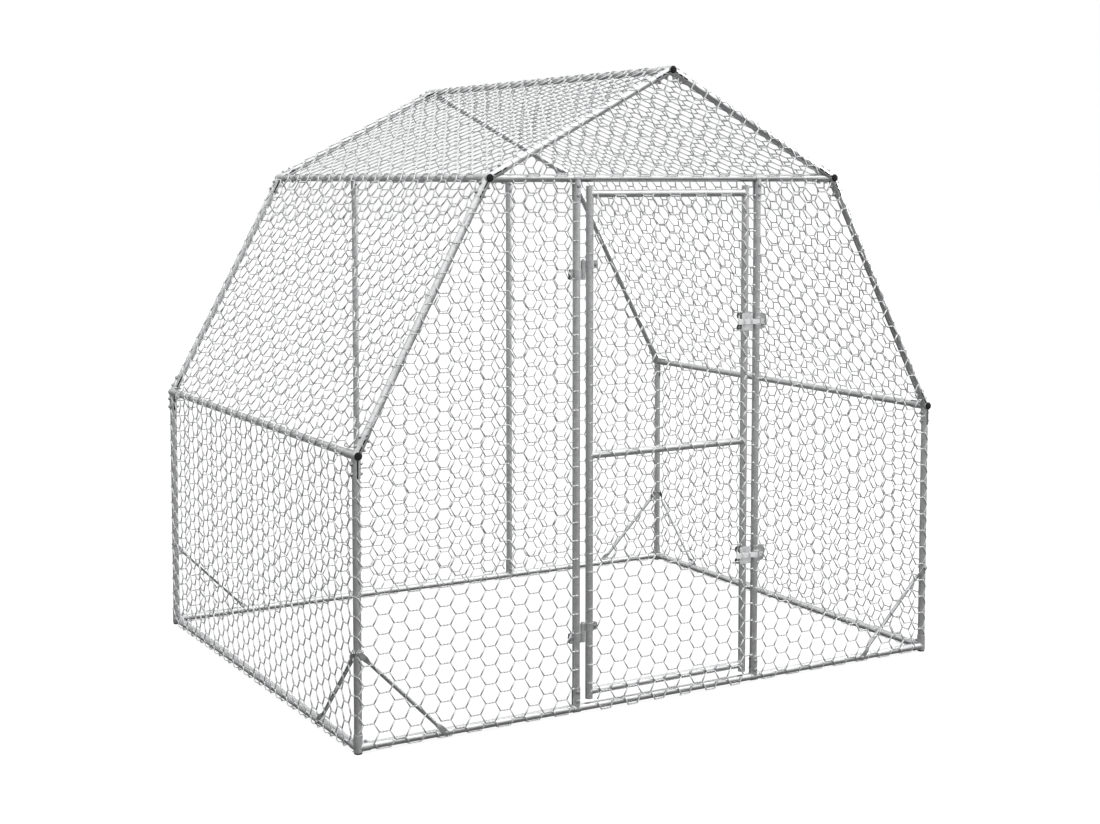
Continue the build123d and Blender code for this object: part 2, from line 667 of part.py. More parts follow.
# Side walls, slopes and roof: each between two purlins or a purlin and a bottom rail
half_d = FRAME_D / 2
wall_plane = Plane(Vector(XL - R - NET_GAP, 0, 0), x_dir=-BACK, z_dir=-RIGHT)
slope_plane = Plane(Vector(XL, 0, EAVE.Z) + LOWER_OUT * (R + NET_GAP), x_dir=-BACK, z_dir=LOWER_OUT)
roof_plane = Plane(Vector(KNEE.X, 0, KNEE.Z) + UPPER_OUT * (R + NET_GAP), x_dir=-BACK, z_dir=UPPER_OUT)
panels = (
    ("wall", wall_plane, RAIL_Z, EAVE.Z, CORNER_LEG, CLAMP_LEG),
    ("slope", slope_plane, 0, (KNEE - EAVE).length, CLAMP_LEG, CLAMP_LEG),
    ("roof", roof_plane, 0, (RIDGE - KNEE).length, CLAMP_LEG, CLAMP_LEG),
)
for word, plane, low, high, low_leg, high_leg in panels:
    outline = [(-half_d, low), (half_d, low), (half_d, high), (-half_d, high)]
    notches = []
    for u, inward in ((-half_d, across_2d), (half_d, -across_2d)):
        for v, way, leg in ((low, up_2d, low_leg), (high, -up_2d, high_leg)):
            corner = Vector(u, v)
            notches.append(strip(corner, corner + way * leg, NOTCH))
            notches.append(strip(corner, corner + inward * leg, NOTCH))
    front_end = []
    back_end = []
    if word == "wall":
        front_end = tab_notches(Vector(half_d, low), -across_2d)
        back_end = tab_notches(Vector(-half_d, low), across_2d)
    save(f"left_{word}_net", net(plane, outline, notches + front_end))
    save(f"right_{word}_net", across(net(plane, outline, notches + back_end)))

# Door net, notched for the hinge straps and the latch brackets
door_outline = [(-STILE_X, DOOR_LOW), (STILE_X, DOOR_LOW), (STILE_X, DOOR_HIGH), (-STILE_X, DOOR_HIGH)]
eye_rise = PIN_STRAP_H / 2 + HINGE_LIFT + EYE_STRAP_H / 2
door_notches = [band_notch(-STILE_X, rise + eye_rise, EYE_STRAP_H, 1) for rise in HINGE_RISES]
door_notches += [band_notch(STILE_X, rise, PLATE_H, -1) for rise in LATCH_RISES]
save("door_net", net(front_plane, door_outline, door_notches))
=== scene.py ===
"""Walk-in poultry run of clamped galvanised tube, dressed in hexagonal wire netting.

Metres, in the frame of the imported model: origin on the ground, +X along the front, the door faces -Y.
"""
import bmesh
import bpy
import numpy as np
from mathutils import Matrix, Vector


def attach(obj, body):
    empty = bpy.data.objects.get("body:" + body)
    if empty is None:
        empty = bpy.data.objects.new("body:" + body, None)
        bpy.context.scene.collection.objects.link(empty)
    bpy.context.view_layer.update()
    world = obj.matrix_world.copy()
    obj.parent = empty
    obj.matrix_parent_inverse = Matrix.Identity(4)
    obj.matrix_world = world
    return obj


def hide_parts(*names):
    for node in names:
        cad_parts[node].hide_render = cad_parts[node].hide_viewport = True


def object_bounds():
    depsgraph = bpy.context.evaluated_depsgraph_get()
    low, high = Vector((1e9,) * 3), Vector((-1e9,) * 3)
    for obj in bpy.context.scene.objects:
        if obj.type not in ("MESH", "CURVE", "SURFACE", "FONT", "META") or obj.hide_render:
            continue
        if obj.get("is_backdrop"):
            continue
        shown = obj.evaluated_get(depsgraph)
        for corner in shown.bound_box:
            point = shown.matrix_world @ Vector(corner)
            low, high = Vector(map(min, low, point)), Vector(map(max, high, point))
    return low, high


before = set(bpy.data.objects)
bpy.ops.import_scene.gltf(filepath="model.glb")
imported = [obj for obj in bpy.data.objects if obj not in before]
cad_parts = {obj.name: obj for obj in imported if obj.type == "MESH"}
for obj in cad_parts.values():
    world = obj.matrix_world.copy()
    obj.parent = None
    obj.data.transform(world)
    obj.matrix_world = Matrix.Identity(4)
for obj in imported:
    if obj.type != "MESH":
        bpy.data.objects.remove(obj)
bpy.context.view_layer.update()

# Corner posts and rafters
# Twelve lengths of 25 mm galvanised steel tube with a 1.2 mm wall, sawn square: posts, lower and upper
# rafters. They stand as a front and a back arch, gripped by split clamps at the joints and collars below.
RIGHT, BACK, UP = np.eye(3)
TUBE_R, TUBE_WALL = 0.0125, 0.0012
FRONT = -0.885
SETBACK = 0.014
CLAMP_LEG = 0.070
FOOT = np.array([-1.1375, FRONT, 0.020])
EAVE = np.array([-1.1375, FRONT, 0.920])
KNEE = np.array([-0.685, FRONT, 1.756])
RIDGE = np.array([0.0, FRONT, 2.112])
LOWER = (KNEE - EAVE) / np.linalg.norm(KNEE - EAVE)
UPPER = (RIDGE - KNEE) / np.linalg.norm(RIDGE - KNEE)
LOWER_OUT = np.array([-LOWER[2], 0.0, LOWER[0]])
UPPER_OUT = np.array([-UPPER[2], 0.0, UPPER[0]])


def skin(points, core=None, ring=False, loop=False, painted_shade=0.0):
    """Quads over a grid of points, rows by columns. ring joins the last column to the first, loop the last
    row to the first. UV is the mean length along columns and rows in metres. The quads are turned to face
    away from core, a point or grid of points inside the piece. The last argument is 1 where shade is
    painted into the metal's colour, as in a clamp's slit, a tube's bore or the gap between a strap's flaps."""
    rows, cols = points.shape[:2]
    i, j = np.meshgrid(np.arange(rows - (not loop)), np.arange(cols - (not ring)), indexing="ij")
    i, j = i.ravel(), j.ravel()
    around = [(i, j), (i, j + 1), (i + 1, j + 1), (i + 1, j)]
    quads = np.stack([(a % rows) * cols + b % cols for a, b in around], 1)
    wide = np.linalg.norm(np.diff(points, axis=1, append=points[:, :1]), axis=2).mean(0)
    tall = np.linalg.norm(np.diff(points, axis=0, append=points[:1]), axis=2).mean(1)
    u, v = np.append(0, np.cumsum(wide)), np.append(0, np.cumsum(tall))
    uv = np.stack([np.stack([u[b], v[a]], 1) for a, b in around], 1)
    verts = points.reshape(-1, 3)
    if core is not None:
        inner = np.broadcast_to(core, points.shape).reshape(-1, 3)
        away = (verts - inner)[quads].mean(1)
        normal = np.cross(verts[quads[:, 2]] - verts[quads[:, 0]], verts[quads[:, 3]] - verts[quads[:, 1]])
        if (normal * away).sum() < 0:
            quads, uv = quads[:, ::-1], uv[:, ::-1]
    return verts, quads, uv, np.broadcast_to(painted_shade, (rows, cols)).ravel()


def mirrored(part, x=1, y=1):
    """The same skin on the other side of the plan: x or y times -1, with its quads turned round to match."""
    verts, quads, uv, painted_shade = part
    if x * y < 0:
        quads, uv = quads[:, ::-1], uv[:, ::-1]
    return verts * (x, y, 1), quads, uv, painted_shade


QUARTERS = ((1, 1), (-1, 1), (1, -1), (-1, -1))


def quarters(*parts):
    """Skins of the left front quarter and their three mirror images."""
    return [mirrored(part, x, y) for x, y in QUARTERS for part in parts]


def piece(name, parts, body, material, nodes, wall=0.0, edge=0.0, weld=True, crease=38):
    """One object from several skins: points welded where skins close on themselves, solids smooth but for
    edges sharper than crease degrees. wall thickens open sheets outwards, edge rounds the rims."""
    shift = np.cumsum([0] + [len(part[0]) for part in parts[:-1]])
    verts = np.concatenate([part[0] for part in parts])
    quads = np.concatenate([part[1] + n for part, n in zip(parts, shift)])
    mesh = bpy.data.meshes.new(name)
    mesh.vertices.add(len(verts))
    mesh.vertices.foreach_set("co", verts.astype(np.float32).ravel())
    mesh.loops.add(quads.size)
    mesh.loops.foreach_set("vertex_index", quads.astype(np.int32).ravel())
    mesh.polygons.add(len(quads))
    mesh.polygons.foreach_set("loop_start", np.arange(0, quads.size, 4, dtype=np.int32))
    mesh.update(calc_edges=True)
    uv = np.concatenate([part[2] for part in parts]).astype(np.float32)
    mesh.uv_layers.new(name="metres").uv.foreach_set("vector", uv.ravel())
    # Painted shade: a mark per point, 1 where the zinc finishes darken the colour as if in shadow.
    painted_shade = np.concatenate([part[3] for part in parts]).astype(np.float32)
    mesh.attributes.new("painted_shade", "FLOAT", "POINT").data.foreach_set("value", painted_shade)
    if weld:
        work = bmesh.new()
        work.from_mesh(mesh)
        bmesh.ops.remove_doubles(work, verts=work.verts, dist=1e-6)
        bmesh.ops.dissolve_degenerate(work, edges=work.edges, dist=1e-7)
        if not wall:
            bmesh.ops.recalc_face_normals(work, faces=work.faces)
        work.to_mesh(mesh)
        work.free()
    mesh.polygons.foreach_set("use_smooth", np.ones(len(mesh.polygons), dtype=bool))
    if not wall:
        mesh.set_sharp_from_angle(angle=np.radians(crease))
    mesh.materials.append(material)
    thing = bpy.data.objects.new(name, mesh)
    bpy.context.scene.collection.objects.link(thing)
    if wall:
        solid = thing.modifiers.new("wall", "SOLIDIFY")
        solid.thickness, solid.offset = wall, 1.0
        solid.use_even_offset = False
    if edge:
        rim = thing.modifiers.new("rim", "BEVEL")
        rim.width, rim.segments, rim.limit_method = edge, 2, "ANGLE"
        rim.angle_limit, rim.harden_normals = np.radians(45), True
    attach(thing, body)
    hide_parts(*nodes)


def turned(start, axis, stations, radii, columns=32, loop=True, painted_shade=0.0):
    """Profile turned round an axis: start + s * axis + r * (cos a * side + sin a * over). A station may
    change round the axis, as at a coped end. loop closes the profile, as rim to bore of a tube."""
    side = np.cross(axis, BACK if abs(axis[1]) < 0.9 else UP)
    side = side / np.linalg.norm(side)
    a = np.linspace(0, 2 * np.pi, columns, endpoint=False)
    s = np.array([np.broadcast_to(k, columns) for k in stations])
    r = np.array(radii)[:, None, None]
    spoke = np.cos(a)[:, None] * side + np.sin(a)[:, None] * np.cross(axis, side)
    points = start + s[:, :, None] * axis + r * spoke
    return skin(points, ring=True, loop=loop, painted_shade=np.broadcast_to(painted_shade, (columns, len(s))).T)


def tube(start, end, head, tail):
    """Sawn tube: outside, rim, bore and rim as one closed loop. head and tail are the lengths at its ends
    that a clamp covers. Those lengths, both rims and the bore are marked for painted shade, the dark seen
    in the clamp's slit and inside the tube."""
    length = np.linalg.norm(end - start)
    rim, fade, bore = 0.0003, 0.001, TUBE_R - TUBE_WALL
    s = [0, rim, head - fade, head, length - tail, length - tail + fade, length - rim, length, length, 0]
    r = [TUBE_R - rim] + [TUBE_R] * 6 + [TUBE_R - rim, bore, bore]
    # Painted shade: 1 on the clamped ends, the rims and the bore.
    dark = [1, 1, 1, 0, 0, 1, 1, 1, 1, 1]
    return turned(start, (end - start) / length, s, r, painted_shade=dark)


def effect(name, inputs, outputs):
    """Empty shader node group with named value sockets, and its two end nodes."""
    group = bpy.data.node_groups.new(name, "ShaderNodeTree")
    for word in inputs:
        group.interface.new_socket(word, in_out="INPUT", socket_type="NodeSocketFloat")
    for word in outputs:
        group.interface.new_socket(word, in_out="OUTPUT", socket_type="NodeSocketFloat")
    return group, group.nodes.new("NodeGroupInput"), group.nodes.new("NodeGroupOutput")


def joined(tree, kind, links, **settings):
    """New node with its settings, and links or values put on its inputs."""
    node = tree.nodes.new(kind)
    for word, value in settings.items():
        setattr(node, word, value)
    for socket, source in links.items():
        if isinstance(source, bpy.types.NodeSocket):
            tree.links.new(source, node.inputs[socket])
        else:
            node.inputs[socket].default_value = source
    return node


# Zinc: flat crystals of different greys (Spangle), soft clouds where the bath ran (Cloud) and a fine
# roughness (Grain), all fixed in the piece's own space.
zinc, zinc_in, zinc_out = effect("zinc_spangle", ["Crystal", "Cloud Size"], ["Spangle", "Cloud", "Grain"])
place = zinc.nodes.new("ShaderNodeTexCoord").outputs["Object"]
warp = joined(zinc, "ShaderNodeTexNoise", {"Vector": place, "Scale": 90.0, "Detail": 2.0})
bent = joined(zinc, "ShaderNodeVectorMath", {0: warp.outputs["Color"], 1: (0.006, 0.006, 0.006), 2: place},
              operation="MULTIPLY_ADD")
crystal = joined(zinc, "ShaderNodeTexVoronoi",
                 {"Vector": bent.outputs[0], "Scale": zinc_in.outputs["Crystal"]})
grey = joined(zinc, "ShaderNodeSeparateColor", {"Color": crystal.outputs["Color"]})
cloud = joined(zinc, "ShaderNodeTexNoise",
               {"Vector": place, "Scale": zinc_in.outputs["Cloud Size"], "Detail": 4.0})
grain = joined(zinc, "ShaderNodeTexNoise", {"Vector": place, "Scale": 700.0, "Detail": 2.0})
zinc.links.new(grey.outputs["Red"], zinc_out.inputs["Spangle"])
zinc.links.new(cloud.outputs["Fac"], zinc_out.inputs["Cloud"])
zinc.links.new(grain.outputs["Fac"], zinc_out.inputs["Grain"])

# Handling marks: thin scuffs drawn along the length of the metal and a sparse dull film.
marks, marks_in, marks_out = effect("handling_marks", ["Stretch"], ["Scuff", "Film"])
along = joined(marks, "ShaderNodeUVMap", {}, uv_map="metres").outputs["UV"]
drawn = joined(marks, "ShaderNodeCombineXYZ", {"X": 900.0, "Y": marks_in.outputs["Stretch"], "Z": 1.0})
drawn = joined(marks, "ShaderNodeVectorMath", {0: along, 1: drawn.outputs[0]}, operation="MULTIPLY")
scuff = joined(marks, "ShaderNodeTexNoise", {"Vector": drawn.outputs[0], "Scale": 1.0, "Detail": 3.0})
place = marks.nodes.new("ShaderNodeTexCoord").outputs["Object"]
film = joined(marks, "ShaderNodeTexNoise",
              {"Vector": place, "Scale": 26.0, "Detail": 5.0, "Roughness": 0.65})
marks.links.new(scuff.outputs["Fac"], marks_out.inputs["Scuff"])
marks.links.new(film.outputs["Fac"], marks_out.inputs["Film"])


def zinc_finish(name, dark, light, rough, crystal=140.0, cloud=7.0, stretch=9.0, shadow=0.04, relief=0.12,
                metallic=1.0):
    """Zinc-coated steel: the grey runs from dark to light with spangle, cloud and scuffs, roughness from
    its two values with the film, and points marked for painted shade are darkened to the share shadow.
    Pale plating is less metallic."""
    material = bpy.data.materials.new(name)
    material.use_nodes = True
    tree = material.node_tree
    metal = tree.nodes["Principled BSDF"]
    metal.inputs["Metallic"].default_value = metallic
    coat = joined(tree, "ShaderNodeGroup", {}, node_tree=zinc)
    coat.inputs["Crystal"].default_value, coat.inputs["Cloud Size"].default_value = crystal, cloud
    wear = joined(tree, "ShaderNodeGroup", {}, node_tree=marks)
    wear.inputs["Stretch"].default_value = stretch
    mix = joined(tree, "ShaderNodeMath", {0: coat.outputs["Spangle"], 1: 0.45, 2: coat.outputs["Cloud"]},
                 operation="MULTIPLY_ADD")
    mix = joined(tree, "ShaderNodeMath", {0: wear.outputs["Scuff"], 1: 0.5, 2: mix.outputs[0]},
                 operation="MULTIPLY_ADD")
    tone = joined(tree, "ShaderNodeMapRange", {"Value": mix.outputs[0], "From Min": 0.55, "From Max": 1.4})
    colour = joined(tree, "ShaderNodeMix", {"Factor": tone.outputs[0], 6: dark, 7: light}, data_type="RGBA")
    # Painted shade: points marked 1 are darkened towards shadow, for clamp slits, bores and flap gaps.
    shade_mark = joined(tree, "ShaderNodeAttribute", {}, attribute_name="painted_shade")
    shade_scale = joined(tree, "ShaderNodeMapRange",
                    {"Value": shade_mark.outputs["Fac"], "To Min": 1.0, "To Max": shadow})
    final = joined(tree, "ShaderNodeVectorMath", {0: colour.outputs[2], 3: shade_scale.outputs[0]},
                   operation="SCALE")
    tree.links.new(final.outputs[0], metal.inputs["Base Color"])
    blur = joined(tree, "ShaderNodeMapRange",
                  {"Value": wear.outputs["Film"], "From Min": 0.3, "From Max": 0.7,
                   "To Min": rough[0], "To Max": rough[1]})
    tree.links.new(blur.outputs[0], metal.inputs["Roughness"])
    height = joined(tree, "ShaderNodeMath", {0: coat.outputs["Spangle"], 1: 0.35, 2: coat.outputs["Grain"]},
                    operation="MULTIPLY_ADD")
    bump = joined(tree, "ShaderNodeBump",
                  {"Height": height.outputs[0], "Strength": relief, "Distance": 0.0004})
    tree.links.new(bump.outputs[0], metal.inputs["Normal"])
    return material


tube_zinc = zinc_finish("galvanised_tube", (0.54, 0.545, 0.55, 1), (0.78, 0.785, 0.79, 1), (0.26, 0.40))
CORNERS = ("front_left", "front_right", "back_left", "back_right")
IN_CLAMP, IN_COLLAR = CLAMP_LEG - SETBACK, 0.060


def tube_piece(name, parts, node, body="frame"):
    """A length of galvanised tube, with what is welded to it, in place of its CAD node."""
    piece(f"{name}_tube", parts, body, tube_zinc, [node])


runs = {
    "post": tube(FOOT * (1, 1, 0), EAVE - UP * SETBACK, IN_COLLAR, IN_CLAMP),
    "lower_rafter": tube(EAVE + LOWER * SETBACK, KNEE - LOWER * SETBACK, IN_CLAMP, IN_CLAMP),
    "upper_rafter": tube(KNEE + UPPER * SETBACK, RIDGE - UPPER * SETBACK, IN_CLAMP, IN_CLAMP),
}
for word, run in runs.items():
    for corner, (x, y) in zip(CORNERS, QUARTERS):
        tube_piece(f"{corner}_{word}", [mirrored(run, x, y)], f"{corner}_{word}")

# Tie bars
# One tube across each arch from knee to knee. Its ends are coped round the knee clamp's sleeves, rest in
# the lower half of that clamp and are bolted from below.
SLEEVE_R = 0.0144
COPE_R = SLEEVE_R + 0.0015


def cope(axis, radius, columns=32):
    """Station along +X where a tube of this radius comes free of a sleeve about axis: the larger root of
    |s * x + r|^2 = COPE_R^2, both taken square to the axis."""
    a = np.linspace(0, 2 * np.pi, columns, endpoint=False)
    side = np.cross(RIGHT, BACK)
    r = radius * (np.cos(a)[:, None] * side + np.sin(a)[:, None] * np.cross(RIGHT, side))
    x_flat = RIGHT - (RIGHT @ axis) * axis
    r_flat = r - (r @ axis)[:, None] * axis
    half_b = r_flat @ x_flat
    rest = half_b ** 2 - (x_flat @ x_flat) * ((r_flat ** 2).sum(1) - COPE_R ** 2)
    return (np.sqrt(np.maximum(rest, 0)) - half_b) / (x_flat @ x_flat) * (rest > 0)


def tie_end(radius):
    """Furthest cope of the knee's purlin sleeve and rafter sleeves."""
    return np.max([cope(axis, radius) for axis in (BACK, UPPER, LOWER)], axis=0)


span = -2 * KNEE[0]
outer_end, inner_end = tie_end(TUBE_R), tie_end(TUBE_R - TUBE_WALL)
tie_s = [outer_end, CLAMP_LEG - 0.0001, CLAMP_LEG, span - CLAMP_LEG, span - CLAMP_LEG + 0.0001,
         span - outer_end, span - inner_end, inner_end]
tie_r = [TUBE_R] * 6 + [TUBE_R - TUBE_WALL] * 2
# Painted shade on the bore only, the dark inside the tube.
tie = turned(KNEE, RIGHT, tie_s, tie_r, painted_shade=[0, 0, 0, 0, 0, 0, 1, 1])
for word, y in (("front", 1), ("back", -1)):
    tube_piece(f"{word}_tie", [mirrored(tie, 1, y)], f"{word}_tie_bar")

# Bottom rails, door posts and back studs
# The same tube: four rails in the sockets of the bottom corners, and four uprights held to the rails
# below and the tie bars above by split tees.
POST_X = 0.361
CORNER_LEG = 0.040
IN_CORNER = CORNER_LEG - SETBACK
front_rail = tube(FOOT + RIGHT * SETBACK, FOOT * (-1, 1, 1) - RIGHT * SETBACK, IN_CORNER, IN_CORNER)
side_rail = tube(FOOT + BACK * SETBACK, FOOT * (1, -1, 1) - BACK * SETBACK, IN_CORNER, IN_CORNER)
for word, run, x, y in (("front", front_rail, 1, 1), ("back", front_rail, 1, -1),
                        ("left", side_rail, 1, 1), ("right", side_rail, -1, 1)):
    tube_piece(f"{word}_rail", [mirrored(run, x, y)], f"{word}_bottom_rail")
post_foot = np.array([-POST_X, FRONT, FOOT[2]])
post_head = np.array([-POST_X, FRONT, KNEE[2]])
upright = tube(post_foot + UP * SETBACK, post_head - UP * SETBACK, IN_CLAMP, IN_CLAMP)
UPRIGHTS = ("left_door_post", "right_door_post", "back_left_stud", "back_right_stud")
for word, (x, y) in zip(UPRIGHTS, QUARTERS):
    tube_piece(word, [mirrored(upright, x, y)], word)

# Purlins
# Five lengths of the same tube that run from front to back through the joints of both arches. The clamps'
# sleeves grip them, and they stand 18 mm past the centre lines of the arches.
PURLIN_OVER = 0.018
IN_PURLIN_CLAMP = PURLIN_OVER + CLAMP_LEG
for word, joint in (("eave", EAVE), ("knee", KNEE), ("ridge", RIDGE)):
    past = BACK * PURLIN_OVER
    run = tube(joint - past, joint * (1, -1, 1) + past, IN_PURLIN_CLAMP, IN_PURLIN_CLAMP)
    for side, x in (("left_", 1), ("right_", -1)) if word != "ridge" else (("", 1),):
        tube_piece(f"{side}{word}_purlin", [mirrored(run, x)], f"{side}{word}_purlin")

# Plugs
# Moulded black plastic plugs pushed into the ten open purlin ends: a domed cap with a rolled rim that
# covers the sawn edge, and a stem inside the bore.
black = bpy.data.materials.new("black_plastic")
black.use_nodes = True
moulding = black.node_tree
shell = moulding.nodes["Principled BSDF"]
shell.inputs["Specular IOR Level"].default_value = 0.2
spot = moulding.nodes.new("ShaderNodeTexCoord").outputs["Object"]
haze = joined(moulding, "ShaderNodeTexNoise", {"Vector": spot, "Scale": 60.0, "Detail": 4.0})
soot = joined(moulding, "ShaderNodeMix", {"Factor": haze.outputs["Fac"], 6: (0.003, 0.003, 0.0035, 1),
                                          7: (0.010, 0.010, 0.011, 1)}, data_type="RGBA")
moulding.links.new(soot.outputs[2], shell.inputs["Base Color"])
sheen = joined(moulding, "ShaderNodeMapRange",
               {"Value": haze.outputs["Fac"], "To Min": 0.55, "To Max": 0.75})
moulding.links.new(sheen.outputs[0], shell.inputs["Roughness"])
pores = joined(moulding, "ShaderNodeTexNoise", {"Vector": spot, "Scale": 1500.0, "Detail": 2.0})
stipple = joined(moulding, "ShaderNodeBump",
                 {"Height": pores.outputs["Fac"], "Strength": 0.2, "Distance": 0.0002})
moulding.links.new(stipple.outputs[0], shell.inputs["Normal"])
plug_s = [-0.0042, -0.0042, -0.0039, -0.0030, -0.0022, -0.0012, -0.0002, 0.0, 0.0003, 0.011, 0.012, 0.012]
plug_r = [0.0, 0.0045, 0.0080, 0.0108, 0.0121, 0.0125, 0.0122, 0.0116, 0.0109, 0.0108, 0.0100, 0.0]
caps = []
for joint in (EAVE, KNEE, RIDGE):
    cap = turned(joint - BACK * PURLIN_OVER, BACK, plug_s, plug_r, 28, loop=False)
    caps += quarters(cap) if joint is not RIDGE else [cap, mirrored(cap, 1, -1)]
piece("plug_caps", caps, "frame", black, ["purlin_plugs"])

# Split clamps at eaves, knees and ridge
# Each joint is held by two pressed halves of 1.8 mm galvanised steel, an outer and an inner one. A half
# has a trough along both legs and a part of the sleeve round the purlin. A slit is left between the two.
BORE_R = 0.0126
SHEET, SHEET_EDGE = 0.0018, 0.0005
SLIT = 0.0042
TIE_START = 0.0148
press_zinc = zinc_finish("pressed_steel", (0.46, 0.465, 0.47, 1), (0.70, 0.705, 0.71, 1), (0.36, 0.52),
                         crystal=210.0, cloud=16.0, stretch=40.0, relief=0.2)


def pressed(name, parts, node, wall=SHEET, body="frame", coat=press_zinc):
    """Sheets of pressed steel as one piece, thickened outwards by wall, with their rims rounded."""
    piece(name, parts, body, coat, [node], wall=wall, edge=SHEET_EDGE)


def trough(joint, way, out, near, far, columns=17):
    """Half sleeve along a leg: joint + s * way + BORE_R * (cos f * out + sin f * side), f from one lip of
    the slit to the other, s from the cope near(f) to far."""
    side = np.cross(way, out)
    lip = np.pi / 2 - SLIT / 2 / BORE_R
    f = np.linspace(-lip, lip, columns)
    spoke = np.cos(f)[:, None] * out + np.sin(f)[:, None] * side
    s = near(f) + np.linspace(0, 1, 5)[:, None] * (far - near(f))
    line = joint + s[:, :, None] * way
    return skin(line + BORE_R * spoke, core=line)


def over_sleeve(f):
    """Cope of a trough on an equal sleeve that crosses it: s = BORE_R * |sin f|."""
    return BORE_R * np.abs(np.sin(f))


def sleeve_part(joint, start, sweep, near, far, columns=21):
    """Part of a sleeve along +Y: BORE_R * (cos a, 0, sin a), from the angle start through sweep, less half
    the slit at each lip."""
    gap = SLIT / 2 / BORE_R * np.sign(sweep)
    a = np.linspace(start + gap, start + sweep - gap, columns)
    spoke = np.stack([np.cos(a), 0 * a, np.sin(a)], 1)
    line = joint + np.linspace(near, far, 5)[:, None, None] * BACK
    return skin(line + BORE_R * spoke, core=line)


def clamp_halves(joint, first, second):
    """Outer and inner half of the clamp on two legs: on the inner side a trough also stops at its mitre,
    s = BORE_R * cos f * tan(bend / 2)."""
    inward = (first + second) / np.linalg.norm(first + second)
    outs = [(d * (inward @ d) - inward) / np.linalg.norm(d * (inward @ d) - inward) for d in (first, second)]
    half = np.arccos(inward @ first)
    lean = 1 / np.tan(half)

    def mitred(f):
        return np.maximum(over_sleeve(f), BORE_R * np.cos(f) * lean)

    outer = [trough(joint, d, o, over_sleeve, CLAMP_LEG) for d, o in zip((first, second), outs)]
    inner = [trough(joint, d, -o, mitred, CLAMP_LEG) for d, o in zip((first, second), outs)]
    middle = np.arctan2(inward[2], inward[0])
    inner.append(sleeve_part(joint, middle - half, 2 * half, -PURLIN_OVER, CLAMP_LEG))
    outer.append(sleeve_part(joint, middle + half, 2 * np.pi - 2 * half, -PURLIN_OVER, CLAMP_LEG))
    return outer, inner


eave_outer, eave_inner = clamp_halves(EAVE, -UP, LOWER)
knee_outer, knee_inner = clamp_halves(KNEE, -LOWER, UPPER)
ridge_outer, ridge_inner = clamp_halves(RIDGE, -UPPER, UPPER * (1, 1, -1))
knee_inner = knee_inner + [trough(KNEE, RIGHT, -UP, lambda f: TIE_START + 0 * f, CLAMP_LEG)]
for word, parts in (("eave_clamp_outers", eave_outer), ("eave_clamp_inners", eave_inner),
                    ("knee_clamp_outers", knee_outer), ("knee_clamp_inners", knee_inner)):
    pressed(f"pressed_{word}", quarters(*parts), word)
ridge = ridge_outer + ridge_inner
pressed("pressed_ridge_clamps", ridge + [mirrored(part, 1, -1) for part in ridge], "ridge_clamps")

# Tees
# Eight split tees, front and rear halves of the same pressed sheet: a trough along the post, a half loop
# round the rail or tie bar, pulled together by two bolts.
TEE_LOOP = 0.028
tees = []
for bar, way in ((post_foot, UP), (post_head, -UP)):
    for out in (-BACK, BACK):
        loop = trough(bar - RIGHT * TEE_LOOP / 2, RIGHT, out, lambda f: 0 * f, TEE_LOOP)
        tees += quarters(trough(bar, way, out, over_sleeve, CLAMP_LEG), loop)
pressed("pressed_tees", tees, "tee_clamps")

# Bottom corners
# A collar on each post 5 mm off the ground, with a socket for the front or back rail and one for the side
# rail, welded up from the same sheet.
COLLAR_LOW = 0.005


def sleeve(start, way, near, far, columns=36):
    """Whole sleeve: start + s * way + BORE_R * (cos a * side + sin a * over), s from near(a) to far."""
    side = np.cross(way, UP if abs(way[2]) < 0.9 else RIGHT)
    a = np.linspace(0, 2 * np.pi, columns, endpoint=False)
    spoke = np.cos(a)[:, None] * side + np.sin(a)[:, None] * np.cross(way, side)
    s = near(a) + np.linspace(0, 1, 4)[:, None] * (far - near(a))
    line = start + s[:, :, None] * way
    return skin(line + BORE_R * spoke, core=line, ring=True)


collar = [sleeve(FOOT * (1, 1, 0), UP, lambda a: COLLAR_LOW + 0 * a, FOOT[2] + CORNER_LEG)]
collar += [sleeve(FOOT, way, over_sleeve, CORNER_LEG) for way in (RIGHT, BACK)]
pressed("welded_corners", quarters(*collar), "bottom_corners")

# Corner braces
# Six lengths of 13 mm tube with pressed flat ends, set across the bottom corners. The flats lie on the
# outer sides of post and rail, one bolt in each, and the tube runs back behind the netting.
REACH = 0.295
BRACE_R, BRACE_GAP = 0.0065, 0.001
TAB_W, TAB_T, TAB_L, TAB_END, TAB_ROUND = 0.019, 0.0026, 0.036, 0.010, 0.007
NECK = 0.060


